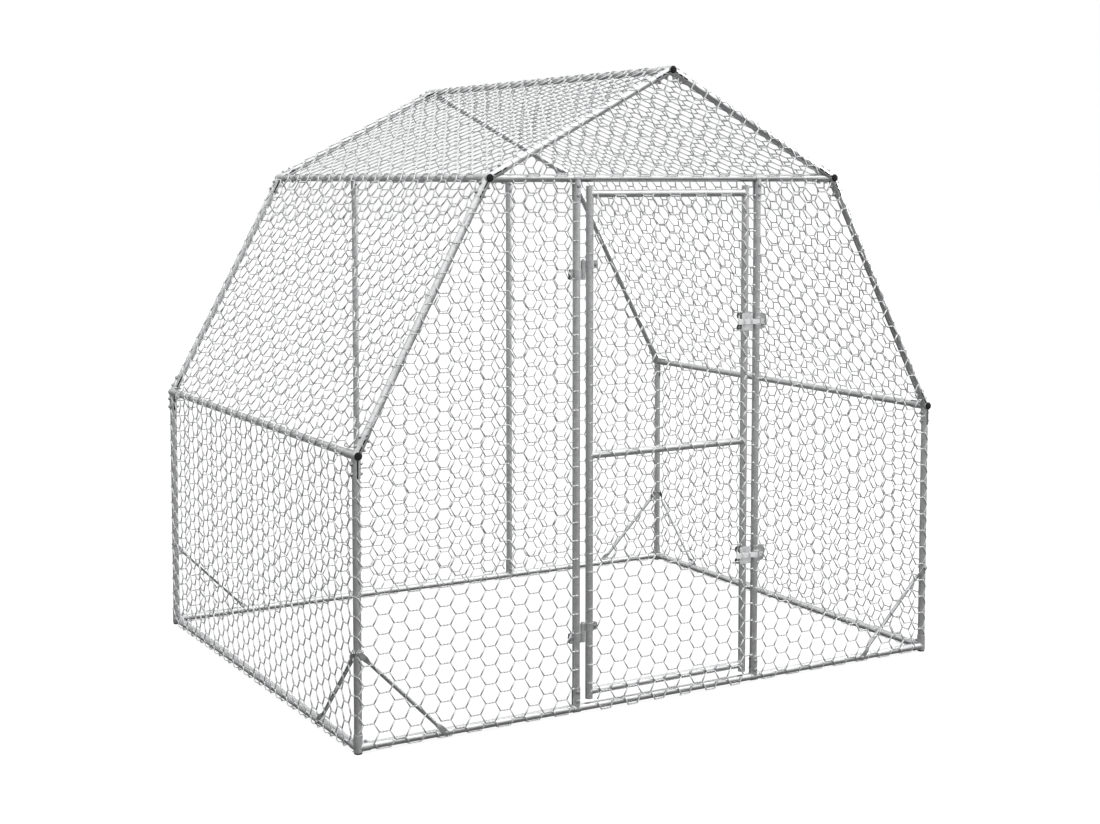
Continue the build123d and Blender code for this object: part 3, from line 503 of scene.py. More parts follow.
def brace(corner, along, outward, columns=20):
    """Superellipse carried along a straight line, |x/w|^n + |y/t|^n = 1: n falls from 9 in the flat to 2 in
    the tube, while w, t and the offset behind the flat change smoothly between tab and neck. The tab's tip
    is rounded in plan over TAB_ROUND."""
    high, low = corner + UP * REACH, corner + along * REACH
    way = (low - high) / np.linalg.norm(low - high)
    length = np.linalg.norm(low - high) + 2 * TAB_END
    half = np.concatenate([[0, 0, 0.0006, 0.002, 0.004, TAB_ROUND], np.linspace(0.012, TAB_L, 3),
                           np.linspace(TAB_L, NECK, 9)[1:], np.linspace(NECK, length / 2, 5)[1:]])
    s = np.append(half, length - half[-2::-1])
    near = np.minimum(s, length - s)
    t = np.clip((near - TAB_L) / (NECK - TAB_L), 0, 1)
    t = t * t * (3 - 2 * t)
    end = np.sqrt(1 - (1 - np.clip(near / TAB_ROUND, 0, 1)) ** 2 * 0.45)
    w = TAB_W / 2 * end * (1 - t) + BRACE_R * t
    thick = TAB_T / 2 * np.clip(0.6 + near / 0.0015, 0, 1) * (1 - t) + BRACE_R * t
    w[[0, -1]] = 0
    thick[[0, -1]] = 0
    power = 2 / (9 * (1 - t) + 2 * t)
    offset = TUBE_R + TAB_T / 2 - t * (TAB_T / 2 + BRACE_GAP + BRACE_R)
    a = np.linspace(0, 2 * np.pi, columns, endpoint=False) + np.pi / columns
    x = np.sign(np.cos(a)) * np.abs(np.cos(a)) ** power[:, None] * w[:, None]
    y = np.sign(np.sin(a)) * np.abs(np.sin(a)) ** power[:, None] * thick[:, None]
    line = high - way * TAB_END + s[:, None] * way + offset[:, None] * outward
    return skin(line[:, None] + x[:, :, None] * np.cross(way, outward) + y[:, :, None] * outward, ring=True)


# Painted shade: the braces get a darker copy of the tube's zinc, so they and their flattened ends look as
# dark as in shadow.
brace_zinc_painted_shade = zinc_finish("brace_zinc_painted_shade", (0.40, 0.405, 0.41, 1), (0.58, 0.585, 0.59, 1), (0.30, 0.44))
front_brace, side_brace = brace(FOOT, RIGHT, -BACK), brace(FOOT, BACK, -RIGHT)
piece("flattened_braces", quarters(front_brace) + [side_brace, mirrored(side_brace, -1, -1)], "frame",
      brace_zinc_painted_shade, ["corner_braces"], crease=50)

# Hinges
# Two pairs of steel straps bent round the tubes and bolted through their flaps. The post's strap carries
# an upright 10 mm pin, and the eye on the door's strap turns on it.
PIN_X = -0.336
STILE_X = 0.311
STRAP_T = 0.0025
FLAP_GAP, FLAP = 0.004, 0.013
HINGE_LOWS = (0.2375, 1.4285)
PIN_H, EYE_H, SEAT_GAP = 0.035, 0.027, 0.0003
PIN_R, PIN_TIP_R, PIN_TIP, PIN_TOP = 0.005, 0.0038, 0.0660, 0.0673
EYE_R, EYE_RIM_R, EYE_RIM, EYE_BORE_R = 0.00805, 0.0075, 0.0006, 0.00505
TONGUE_T, PIN_TONGUE_X, EYE_TONGUE_X = 0.006, -0.3445, -0.3255


def strap(x, low, height, out, thickness, flap, end=0.8, columns=25):
    """Keyhole path in plan carried up: along one flap, round the bore and out along the other flap. Points
    are x + out * p, FRONT + q with q = -gap/2 on the first flap and +gap/2 on the last. A flap's height
    falls as sqrt(1 - (1 - end^2) * share^4) to the share end at its tip, and the tip is painted dark as
    the shade in the gap between the flaps."""
    half = FLAP_GAP / 2
    root, far = BORE_R + 0.003, BORE_R + thickness + flap
    lip = np.arcsin(half / BORE_R)
    a = np.linspace(-lip, lip - 2 * np.pi, columns)
    tongue = root + (far - root) * np.sin(np.linspace(0, np.pi / 2, 8))
    p = np.concatenate([tongue[::-1], BORE_R * np.cos(a), tongue])
    q = np.concatenate([np.full(8, -half), BORE_R * np.sin(a), np.full(8, half)])
    share = np.clip((p - root) / (far - root), 0, 1)
    tall = height * np.sqrt(1 - (1 - end ** 2) * share ** 4)
    z = low + height / 2 + np.linspace(-0.5, 0.5, 4)[:, None] * tall
    grid = np.stack(np.broadcast_arrays(x + out * p, FRONT + q, z), 2)
    core = np.stack(np.broadcast_arrays(x + out * np.maximum(p, 0), FRONT + 0 * q, z), 2)
    # Painted shade: the last fifth of each flap is darkened as the shadow in the gap between the flaps.
    return skin(grid, core=core, painted_shade=np.clip(share * 5 - 4, 0, 1))


def rounded(wide, tall, radius, per=5):
    """Outline of a rectangle with round corners: corner centre plus radius * (cos a, sin a), a quarter turn
    at each of the four corners."""
    quarter = np.linspace(0, 2 * np.pi, 4 * per, endpoint=False).reshape(4, per)
    a = quarter + np.linspace(0, 1, per) * np.pi / 2 / per
    centre = np.array([[1, 1], [-1, 1], [-1, -1], [1, -1]]) * (wide / 2 - radius, tall / 2 - radius)
    return (centre[:, None] + radius * np.stack([np.cos(a), np.sin(a)], 2)).reshape(-1, 2)


def plate(outline, middle, across, over, out, thickness, rim=0.0004):
    """Flat plate: its outline drawn in to the middle on both faces, with a bevelled rim. Point is
    middle + u * across + v * over + n * out."""
    drawn_in = 1 - rim / np.abs(outline).max(0)
    rings = [outline * 0, outline * drawn_in, outline, outline, outline * drawn_in, outline * 0]
    n = [0, 0, rim, thickness - rim, thickness, thickness]
    grid = np.stack([middle + r[:, :1] * across + r[:, 1:] * over + h * out for r, h in zip(rings, n)])
    return skin(grid, ring=True)


def tongue(x, low, wide, height):
    """Flat tongue that joins a strap to its pin or eye: a plate with its lower edge near low."""
    middle = np.array([x, FRONT + TONGUE_T / 2, low + height / 2])
    return plate(rounded(wide, height - 0.001, 0.001), middle, RIGHT, UP, -BACK, TONGUE_T)


pin_s = [0, 0, EYE_RIM, PIN_H - EYE_RIM, PIN_H, PIN_H, PIN_TIP, PIN_TOP, PIN_TOP]
pin_r = [0, EYE_RIM_R, EYE_R, EYE_R, EYE_RIM_R, PIN_R, PIN_R, PIN_TIP_R, 0]
eye_s = [0, EYE_RIM, EYE_H - EYE_RIM, EYE_H, EYE_H, 0]
eye_r = [EYE_RIM_R, EYE_R, EYE_R, EYE_RIM_R, EYE_BORE_R, EYE_BORE_R]
pin_bands, pin_solids, eye_bands, eye_solids = [], [], [], []
for low in HINGE_LOWS:
    seat = low + PIN_H + SEAT_GAP
    pin_bands.append(strap(-POST_X, low, PIN_H, -1, STRAP_T, FLAP))
    pin_solids.append(turned(np.array([PIN_X, FRONT, low]), UP, pin_s, pin_r, 28, loop=False))
    pin_solids.append(tongue(PIN_TONGUE_X, low, 0.012, PIN_H))
    eye_bands.append(strap(-STILE_X, seat, EYE_H, 1, STRAP_T, FLAP))
    eye_solids.append(turned(np.array([PIN_X, FRONT, seat]), UP, eye_s, eye_r, 28))
    eye_solids.append(tongue(EYE_TONGUE_X, seat, 0.0095, EYE_H))
pressed("pin_strap_bands", pin_bands, "hinge_pin_straps", STRAP_T)
piece("pin_strap_pins", pin_solids, "frame", press_zinc, ["hinge_pin_straps"])
pressed("eye_strap_bands", eye_bands, "hinge_eye_straps", STRAP_T, "door")
piece("eye_strap_eyes", eye_solids, "door", press_zinc, ["hinge_eye_straps"])

# Door frame
# Two stiles and three rails of the same tube. The rails are coped to the stiles and welded all round, and
# the straps of the two hinge eyes carry the hinge stile.
DOOR_LEVELS = (("bottom", 0.070), ("middle", 0.854), ("top", 1.706))
STILE_LOW, STILE_HIGH, NO_CLAMP = 0.045, 1.731, 0.001
stile_foot, stile_head = (np.array([-STILE_X, FRONT, z]) for z in (STILE_LOW, STILE_HIGH))
stile = tube(stile_foot, stile_head, NO_CLAMP, NO_CLAMP)
for word, x in (("hinge", 1), ("latch", -1)):
    tube_piece(f"{word}_stile", [mirrored(stile, x)], f"door_{word}_stile", "door")
a = np.linspace(0, 2 * np.pi, 32, endpoint=False)
bore = TUBE_R - TUBE_WALL
bead = TUBE_R * np.abs(np.cos(a))
saddle, saddle_bore = bead + 0.0001, np.sqrt(TUBE_R ** 2 - (bore * np.sin(a)) ** 2)
long = 2 * STILE_X
rail_s = [saddle, saddle + 0.003, long - saddle - 0.003, long - saddle, long - saddle_bore, saddle_bore]
rail_r = [TUBE_R] * 4 + [bore] * 2
weld_s = [bead - 0.001, bead + 0.0006, bead + 0.0028, bead + 0.0036]
weld_r = [TUBE_R + 0.0002, TUBE_R + 0.0011, TUBE_R + 0.0006, TUBE_R - 0.0004]
for word, z in DOOR_LEVELS:
    start = np.array([-STILE_X, FRONT, z])
    weld = turned(start, RIGHT, weld_s, weld_r)
    parts = [turned(start, RIGHT, rail_s, rail_r), weld, mirrored(weld, -1)]
    tube_piece(f"{word}_rail_door", parts, f"door_{word}_rail", "door")

# Latch brackets
# On the latch stile two straps carry a plate for each latch, with two staples bent over the sliding bolt.
# The straps close on the hinge side of the stile with a bolt through each pair of flaps.
LATCH_LEVELS = (("lower", 0.456), ("upper", 1.266))
BAND_T, BAND_H, BAND_LOWS = 0.0024, 0.020, (-0.030, 0.010)
PLATE_AT, PLATE_T, PLATE_FACE = 0.0140, 0.0022, (0.046, 0.060, 0.004)
BAR_AT, BAR_T, BAR_H = 0.0165, 0.0030, 0.018
OVER_AT, OVER_T = 0.0198, 0.0019
STAPLE_XS, STAPLE_W, STAPLE_EDGE = (-0.013, 0.017), 0.007, 0.0004


def staple(x, z, wide, rim, back, front, turn=0.0016):
    """Hat path in section carried across: out from the plate, over the bolt and back, its bends quarter
    circles of radius turn."""
    q = np.linspace(0, np.pi / 2, 4)
    inwards, outwards = turn * (1 - np.cos(q)), front - turn + turn * np.sin(q)
    zs = np.concatenate([[-rim], -rim + inwards, [0], rim - inwards[::-1], [rim]])
    ys = np.concatenate([[back], outwards, [front], outwards[::-1], [back]])
    xs = np.linspace(-wide / 2, wide / 2, 3)[:, None]
    grid = np.stack(np.broadcast_arrays(x + xs, FRONT - ys, z + zs), 2)
    return skin(grid, core=np.array([x, FRONT - back, z]))


# Painted shade: the latch straps get a darker copy of the pressed zinc, their flaps dark as in shadow.
strap_zinc = zinc_finish("shaded_strap_zinc", (0.24, 0.245, 0.25, 1), (0.42, 0.425, 0.43, 1), (0.38, 0.54),
                         crystal=260.0, cloud=40.0, stretch=40.0, relief=0.2)
pale_zinc = zinc_finish("pale_plated_zinc", (0.38, 0.385, 0.39, 1), (0.62, 0.625, 0.63, 1), (0.40, 0.54),
                        crystal=260.0, cloud=40.0, stretch=40.0, relief=0.1, metallic=0.4)
bands, plates, staples = [], [], []
for word, z in LATCH_LEVELS:
    bands += [strap(STILE_X, z + low, BAND_H, -1, BAND_T, FLAP) for low in BAND_LOWS]
    middle = np.array([STILE_X + 0.001, FRONT - PLATE_AT, z])
    plates.append(plate(rounded(*PLATE_FACE), middle, RIGHT, UP, -BACK, PLATE_T))
    staples += [staple(STILE_X + x, z, STAPLE_W, BAR_H / 2 + 0.0003, PLATE_AT + PLATE_T - 0.0004, OVER_AT)
                for x in STAPLE_XS]
pressed("latch_bands", bands, "latch_brackets", BAND_T, "door", strap_zinc)
piece("latch_staples", staples, "door", pale_zinc, ["latch_brackets"],
      wall=OVER_T, edge=STAPLE_EDGE)
piece("latch_plates", plates, "door", pale_zinc, ["latch_brackets"])

# Sliding latch bolts
# A flat bar of bright plated steel in each bracket, its corners rounded and its tail bent into a thumb lug.
# It slides between the plate and the two staples.
bar_zinc = zinc_finish("latch_bar_zinc", (0.56, 0.565, 0.57, 1), (0.74, 0.745, 0.75, 1), (0.36, 0.50),
                       crystal=320.0, cloud=30.0, stretch=30.0, relief=0.06, metallic=0.3)
BAR_X, LUG_X, LUG_UP = 0.318, 0.275, 0.0095
BAR_FACE, LUG_FACE, LUG_T = (0.090, BAR_H, 0.003), (0.004, 0.023, 0.0018), BAR_T + 0.0006
for word, z in LATCH_LEVELS:
    bolt = f"{word}_latch_bolt"
    bar_at, lug_at = np.array([BAR_X, FRONT - BAR_AT, z]), np.array([LUG_X, FRONT - BAR_AT, z + LUG_UP])
    bar = plate(rounded(*BAR_FACE), bar_at, RIGHT, UP, -BACK, BAR_T)
    lug = plate(rounded(*LUG_FACE), lug_at, RIGHT, UP, -BACK, LUG_T)
    piece(f"{word}_latch_bar", [bar, lug], bolt, bar_zinc, [bolt])

# Latch keepers
# A tall strap on the right door post, closed by a bolt on the side away from the door, with two lips that
# guide the sliding bolt and a bridge that closes over its tip.
KEEPER_H, KEEPER_FLAP = 0.056, 0.026
LIP_UP, LIP_T, LIP_AT = 0.01125, 0.0025, 0.01715
LIP_FACE, BRIDGE_FACE = (0.034, 0.0091, 0.0008), (0.014, 0.025, 0.0015)
bands, plates = [], []
for word, z in LATCH_LEVELS:
    bands.append(strap(POST_X, z - KEEPER_H / 2, KEEPER_H, 1, BAND_T, KEEPER_FLAP, end=0.4))
    for lift in (-LIP_UP, LIP_UP):
        middle = np.array([POST_X + 0.001, FRONT - LIP_AT, z + lift - LIP_T / 2])
        plates.append(plate(rounded(*LIP_FACE), middle, RIGHT, BACK, UP, LIP_T))
    middle = np.array([POST_X + 0.011, FRONT - OVER_AT, z])
    plates.append(plate(rounded(*BRIDGE_FACE), middle, RIGHT, UP, -BACK, OVER_T))
pressed("keeper_bands", bands, "latch_keepers", BAND_T)
piece("keeper_lips", plates, "frame", pale_zinc, ["latch_keepers"])

# Bolts
# Plated M6 hex bolts with washers on the clamps, tees, corners, braces and strap flaps. Most have a nut
# and a cut end that show on the inner side.
bolt_zinc = zinc_finish("fastener_zinc", (0.38, 0.385, 0.39, 1), (0.60, 0.60, 0.61, 1), (0.28, 0.44),
                        crystal=420.0, cloud=60.0, stretch=60.0, relief=0.08)
HEX, WASHER = 0.005, 0.0072
BOLT_REACHES = (0.025, 0.056)
ONCE = ((1, 1),)
STRAP_SEAT, BAND_SEAT = FLAP_GAP / 2 + STRAP_T, FLAP_GAP / 2 + BAND_T


def hexed(seat, way, rows):
    """Turned hex shape on a seat: rows of (height, radius over the flats, roundness), the radius being
    flats / cos(distance to the next flat) where roundness is 0 and plain flats where it is 1."""
    a = np.linspace(0, 2 * np.pi, 12, endpoint=False)
    corner = 1 / np.cos((a + np.pi / 6) % (np.pi / 3) - np.pi / 6)
    height, flats, roundness = np.array(rows).T
    r = flats[:, None] * (corner * (1 - roundness[:, None]) + roundness[:, None])
    side = np.cross(way, BACK if abs(way[1]) < 0.9 else RIGHT)
    side = side / np.linalg.norm(side)
    spoke = np.cos(a)[:, None] * side + np.sin(a)[:, None] * np.cross(way, side)
    return skin(seat + height[:, None, None] * way + r[:, :, None] * spoke, ring=True)


HEAD_ROWS = [(-0.0012, 0, 1), (-0.0012, WASHER, 1), (0.0008, WASHER, 1), (0.0010, 0.0068, 1),
             (0.0010, HEX, 0), (0.0042, HEX, 0), (0.0048, HEX * 0.96, 1), (0.0048, 0, 1)]
NUT_ROWS = [(-0.0012, 0, 1), (-0.0012, 0.0068, 1), (0.0008, 0.0068, 1), (0.0009, HEX, 0), (0.0044, HEX, 0),
            (0.0050, HEX * 0.95, 1), (0.0050, 0.0030, 1), (0.0086, 0.0030, 1), (0.0092, 0.0022, 1),
            (0.0092, 0, 1)]
heads, nuts = [], []
for reach in BOLT_REACHES:
    grips = [(EAVE - UP * reach, -RIGHT), (EAVE + LOWER * reach, LOWER_OUT),
             (KNEE - LOWER * reach, LOWER_OUT), (KNEE + UPPER * reach, UPPER_OUT),
             (RIDGE - UPPER * reach, UPPER_OUT),
             (post_foot + UP * reach, -BACK), (post_head - UP * reach, -BACK)]
    heads += [(spot + out * SLEEVE_R, out, QUARTERS) for spot, out in grips + [(KNEE + RIGHT * reach, -UP)]]
    nuts += [(spot - out * SLEEVE_R, -out, QUARTERS) for spot, out in grips]
heads += [(FOOT + way * BOLT_REACHES[0] + UP * SLEEVE_R, UP, QUARTERS) for way in (RIGHT, BACK)]
for along, out, places in ((RIGHT, -BACK, QUARTERS), (BACK, -RIGHT, ((1, 1), (-1, -1)))):
    for spot in (FOOT + UP * REACH, FOOT + along * REACH):
        heads.append((spot + out * (TUBE_R + TAB_T), out, places))
        nuts.append((spot - out * TUBE_R, -out, places))
for low in HINGE_LOWS:
    spot = np.array([-POST_X - BORE_R - STRAP_T - FLAP / 2, FRONT, low + PIN_H / 2])
    heads.append((spot - BACK * STRAP_SEAT, -BACK, ONCE))
    nuts.append((spot + BACK * STRAP_SEAT, BACK, ONCE))
for word, z in LATCH_LEVELS:
    spot = np.array([POST_X + BORE_R + BAND_T + KEEPER_FLAP / 2, FRONT, z])
    heads.append((spot - BACK * BAND_SEAT, -BACK, ONCE))
    nuts.append((spot + BACK * BAND_SEAT, BACK, ONCE))
frame_fasteners = [mirrored(hexed(seat, way, rows), x, y)
                   for rows, seats in ((HEAD_ROWS, heads), (NUT_ROWS, nuts))
                   for seat, way, places in seats for x, y in places]
piece("frame_hex_bolts", frame_fasteners, "frame", bolt_zinc, ["frame_bolts"])
spots = [np.array([-STILE_X + BORE_R + STRAP_T + FLAP / 2, FRONT, low + PIN_H + SEAT_GAP + EYE_H / 2])
         for low in HINGE_LOWS]
spots += [np.array([STILE_X - BORE_R - BAND_T - FLAP / 2, FRONT, z + low + BAND_H / 2])
          for word, z in LATCH_LEVELS for low in BAND_LOWS]
door_fasteners = [hexed(spot - BACK * STRAP_SEAT, -BACK, HEAD_ROWS) for spot in spots]
door_fasteners += [hexed(spot + BACK * STRAP_SEAT, BACK, NUT_ROWS) for spot in spots]
piece("door_hex_bolts", door_fasteners, "door", bolt_zinc, ["door_bolts"])

# Netting
# Hexagonal netting of galvanised wire, its twists lying level, a mesh about 61 mm high. The panels are
# drawn tight over the outside of the tubes, bent round them and cut off behind.
WIRE_R, STRAND_R, WIND_R = 0.0024, 0.0018, 0.0012
CELL_A, CELL_H = 0.0352, 0.061
PITCH = 1.5 * CELL_A
LAY = TUBE_R + STRAND_R + WIND_R + 0.0001
PRESS, PRESS_LOW, PRESS_SLIM = 0.006, 0.45, 0.5
SHORTEST, PAST_CORNER, NEAR_EDGE = 0.006, 0.004, 0.004
SAG, FRONT_SAG, BELLY, SWAY = 0.0025, 0.0009, 2.4, 0.0011
FOUR_SIDED, SIX_SIDED = 1.15, 1.08
wire_zinc = zinc_finish("net_wire", (0.63, 0.635, 0.64, 1), (0.77, 0.775, 0.78, 1), (0.62, 0.74),
                        crystal=260.0, cloud=20.0, stretch=60.0, relief=0.05)


def lattice(low, high, pitch, rise, odd):
    """Wires of the flat net between two corners, as ends A and B of each: a twist two thirds of the pitch
    long at every (i * pitch, j * rise / 2) with i + j + odd even, and from its right end a wire up and a
    wire down to the next."""
    i = np.arange(np.floor(low[0] / pitch) - 2, np.ceil(high[0] / pitch) + 3)
    j = np.arange(np.floor(low[1] / rise * 2) - 2, np.ceil(high[1] / rise * 2) + 3)
    i, j = [g.ravel() for g in np.meshgrid(i, j)]
    keep = (i + j + odd) % 2 == 0
    u, v = i[keep] * pitch, j[keep] * rise / 2
    left, right = np.stack([u - pitch / 3, v], 1), np.stack([u + pitch / 3, v], 1)
    step = np.array([pitch / 3, rise / 2])
    far = np.concatenate([right + step, right + step * (1, -1)])
    return (left, right), (np.concatenate([right, right]), far)


def sway(p):
    """Slack of the net: a few long sine waves across the panel, up to about 2 mm each way."""
    u, v = p[..., 0], p[..., 1]
    du = np.sin(11.3 * u + 4.1 * v + 0.6) + np.sin(23.0 * v - 7.7 * u) * 0.7
    dv = np.sin(9.1 * v - 5.3 * u + 2.2) + np.sin(19.7 * u + 6.1 * v + 1.0) * 0.7
    return p + SWAY * np.stack([du, dv], -1)


def outline_edges(outline):
    """Outward unit normals and offsets of a convex anticlockwise outline: normal . p <= offset inside."""
    run = np.roll(outline, -1, 0) - outline
    normal = np.stack([run[:, 1], -run[:, 0]], 1) / np.linalg.norm(run, axis=1)[:, None]
    return normal, (normal * outline).sum(1)


def kept_span(a, b, normal, offset):
    """Share of each wire inside a convex outline, as start and end from 0 to 1, empty where end <= start."""
    depth_a, depth_b = a @ normal.T - offset, b @ normal.T - offset
    with np.errstate(divide="ignore", invalid="ignore"):
        cross = depth_a / (depth_a - depth_b)
    start = np.where((depth_a > 0) & (depth_b <= 0), cross, 0).max(1)
    end = np.where((depth_a <= 0) & (depth_b > 0), cross, 1).min(1)
    end = np.where(((depth_a > 0) & (depth_b > 0)).any(1), -1, end)
    return start, end


def notch(start, way, length, half):
    """Outline of a strip along a clamp's leg or a brace's flat, from half behind its start to its tip."""
    start, way = np.asarray(start, float), np.asarray(way, float)
    side = np.array([-way[1], way[0]]) * half
    tail, tip = start - way * half, start + way * length
    return np.array([tail - side, tip - side, tip + side, tail + side])


def box_notch(u0, v0, u1, v1):
    """Outline of an upright rectangle between two corners."""
    return np.array([(u0, v0), (u1, v0), (u1, v1), (u0, v1)], float)


def wires(ends, outline, wraps, slack, notches, turns, strands, steps, place):
    """Closed wires along the kept share of each line. Two four-sided strands wind round their line as
    WIND_R * (cos, sin) of turns full turns; a single six-sided wire lies on it. Past the edge k of the
    outline, as far as wraps[k], the net bends round the tube there: a point d beyond it and n above it goes
    to n * (sin f, cos f) with f = d / LAY. Over the length PRESS it is pressed down on the tube, to the
    share PRESS_LOW of its height and PRESS_SLIM of its width. Under a rail it hangs loose, and n grows by
    slack[k] * (sin^2 f + BELLY * sin^2 2f), the second part only on the outer side. A wire beyond two edges,
    cut at both ends or too short is left out. Each wire has its own small patch of UV. place takes
    (u, v, n) into the model."""
    a, b = sway(ends[0]), sway(ends[1])
    normal, offset = outline_edges(outline)
    start, end = kept_span(a, b, normal, offset + wraps)
    for shape in notches:
        cut_start, cut_end = kept_span(a, b, *outline_edges(shape))
        hit = (cut_end > cut_start) & (cut_end > start) & (cut_start < end)
        first = hit & (cut_start <= start + 1e-6)
        start = np.where(first, np.maximum(start, cut_end), start)
        end = np.where(hit & ~first, np.minimum(end, cut_start), end)
    reach = np.linalg.norm(b - a, axis=1)
    tips = [np.sort((a + (b - a) * t[:, None]) @ normal.T - offset, axis=1)[:, -2] for t in (start, end)]
    loose_bit = (start > 1e-6) & (end < 1 - 1e-6)
    keep = ((end - start) * reach > SHORTEST) & ~loose_bit & (np.maximum(*tips) < PAST_CORNER)
    a, b, start, end = a[keep], b[keep], start[keep], end[keep]
    ahead = (b - a) / reach[keep, None]
    beside = np.stack([-ahead[:, 1], ahead[:, 0]], 1)
    t = start[:, None] + (end - start)[:, None] * np.linspace(0, 1, steps + 1)
    radius, thick, sides = (WIND_R, STRAND_R * FOUR_SIDED, 4) if strands > 1 else (0.0, WIRE_R * SIX_SIDED, 6)
    corner = np.pi / 4 + np.arange(sides) * 2 * np.pi / sides
    ring, after = np.arange(sides), (np.arange(sides) + 1) % sides
    row = np.arange(steps)[:, None] * sides
    quad = np.stack([row + ring, row + after, row + sides + after, row + sides + ring], 2)
    tip = np.array([[0, 1, 2, 3], [3, 4, 5, 0]])[:sides // 2 - 1]
    quad = np.concatenate([quad.reshape(-1, 4), tip[:, ::-1], tip + steps * sides])
    quads = (np.arange(len(a))[:, None, None] * (steps + 1) * sides + quad).reshape(-1, 4)
    uv = np.zeros((len(quads), 4, 2)) + np.array([[0, 0], [0.001, 0], [0.001, 0.01], [0, 0.01]])
    uv = uv + np.repeat(np.arange(len(a)) * 0.037 % 1, len(quad))[:, None, None]
    parts = []
    for k in range(strands):
        wind = 2 * np.pi * turns * t + np.pi * k
        centre = a[:, None] + (b - a)[:, None] * t[:, :, None]
        centre = centre + radius * np.cos(wind)[:, :, None] * beside[:, None]
        slim = 1 - (1 - PRESS_SLIM) * np.clip((centre @ normal.T - offset).max(-1) / PRESS, 0, 1)
        wide = thick * slim[:, :, None, None] * np.cos(corner)[:, None]
        flat = centre[:, :, None] + wide * beside[:, None, None]
        n = (LAY + radius * np.sin(wind))[:, :, None] + thick * np.sin(corner)
        beyond = flat @ normal.T - offset
        edge = beyond.argmax(-1)
        d = np.maximum(np.take_along_axis(beyond, edge[..., None], -1)[..., 0], 0)
        swing = d / LAY
        n = TUBE_R + (n - TUBE_R) * (1 - (1 - PRESS_LOW) * np.minimum(d / PRESS, 1))
        n = n + slack[edge] * np.sin(np.minimum(swing, np.pi)) ** 2
        n = n + slack[edge] * BELLY * np.sin(2 * np.minimum(swing, np.pi / 2)) ** 2
        push = (n * np.sin(swing) - d)[..., None] * normal[edge]
        points = place(flat + push, n * np.cos(swing)).reshape(-1, 3)
        parts.append((points, quads, uv, np.zeros(len(points))))
    return parts


def netting(name, plane, outline, wraps, notches, pitch=PITCH, rise=CELL_H, odd=0, shift=(0.0, 0.0),
            body="frame", loose=None, sag=SAG):
    """Panel of net in the plane origin + u * across + v * over + n * out, its lattice moved by shift and
    hanging loose by sag under the edge that loose names."""
    origin, across, over, out = plane
    outline, shift = np.array(outline, float), np.array(shift, float)
    wraps = np.array(wraps) * LAY
    slack = np.zeros(len(outline))
    slack[[] if loose is None else loose] = sag

    def place(flat, n):
        return origin + flat[..., :1] * across + flat[..., 1:] * over + n[..., None] * out

    room = 0.1
    low, high = outline.min(0) - shift - room, outline.max(0) - shift + room
    twists, slants = lattice(low, high, pitch, rise, odd)
    normal, offset = outline_edges(outline)
    twists, slants = [p + shift for p in twists], [p + shift for p in slants]
    parts = wires(twists, outline, wraps, slack, notches, turns=1.5, strands=2, steps=6, place=place)
    near = np.maximum(*[(p @ normal.T - offset).max(1) for p in slants]) > -NEAR_EDGE
    for group, steps in ((near, 5), (~near, 1)):
        if group.any():
            parts += wires([p[group] for p in slants], outline, wraps, slack, notches, turns=0, strands=1,
                           steps=steps, place=place)
    if np.dot(np.cross(across, over), out) < 0:
        parts = [(verts, quads[:, ::-1], uv[:, ::-1], painted_shade) for verts, quads, uv, painted_shade in parts]
    piece(f"{name}_netting", parts, body, wire_zinc, [f"{name}_net"], weld=False, crease=180)


UNDER_RAIL, ROUND_POST, ROUND_RAFTER, BELOW_TIE = np.array([230, 45, 60, -22]) * np.pi / 180
CLEAR = SLEEVE_R + 0.0015
LEG_CUT, CORNER_CUT = CLAMP_LEG + 0.002, CORNER_LEG + 0.002
TAB_CUT, TAB_CUT_HALF = 0.040, 0.0105
TEE_CUT = TEE_LOOP / 2 + 0.002
FRONT_PLANE = FRONT * BACK, RIGHT, UP, -BACK
flat = np.array([[1, 0, 0], [0, 0, 1]])
foot2, eave2, knee2, ridge2 = (flat @ p for p in (FOOT, EAVE, KNEE, RIDGE))
lower2, upper2 = flat @ LOWER, flat @ UPPER
RIGHT2, UP2 = np.eye(2)
OTHER_SIDE = np.array([-1, 1])
tab_way = (RIGHT2 - UP2) / np.sqrt(2)
quarter_notches = [notch(foot2, UP2, CORNER_CUT, CLEAR), notch(foot2, RIGHT2, CORNER_CUT, CLEAR),
                   notch(eave2, -UP2, LEG_CUT, CLEAR), notch(eave2, lower2, LEG_CUT, CLEAR),
                   notch(knee2, -lower2, LEG_CUT, CLEAR), notch(knee2, RIGHT2, LEG_CUT, CLEAR),
                   notch(knee2, upper2, LEG_CUT, CLEAR),
                   notch(foot2 + UP2 * REACH, tab_way, TAB_CUT, TAB_CUT_HALF),
                   notch(foot2 + RIGHT2 * REACH, -tab_way, TAB_CUT, TAB_CUT_HALF)]
tee_notches = [notch((-POST_X, FOOT[2]), UP2, LEG_CUT, CLEAR),
               notch((-POST_X, KNEE[2]), -UP2, LEG_CUT, CLEAR)]
tee_notches += [box_notch(-POST_X - TEE_CUT, z - CLEAR, -POST_X + TEE_CUT, z + CLEAR)
                for z in (KNEE[2], FOOT[2])]


def flipped(shapes):
    """Outlines mirrored to the right side, still anticlockwise."""
    return [shape[::-1] * OTHER_SIDE for shape in shapes]


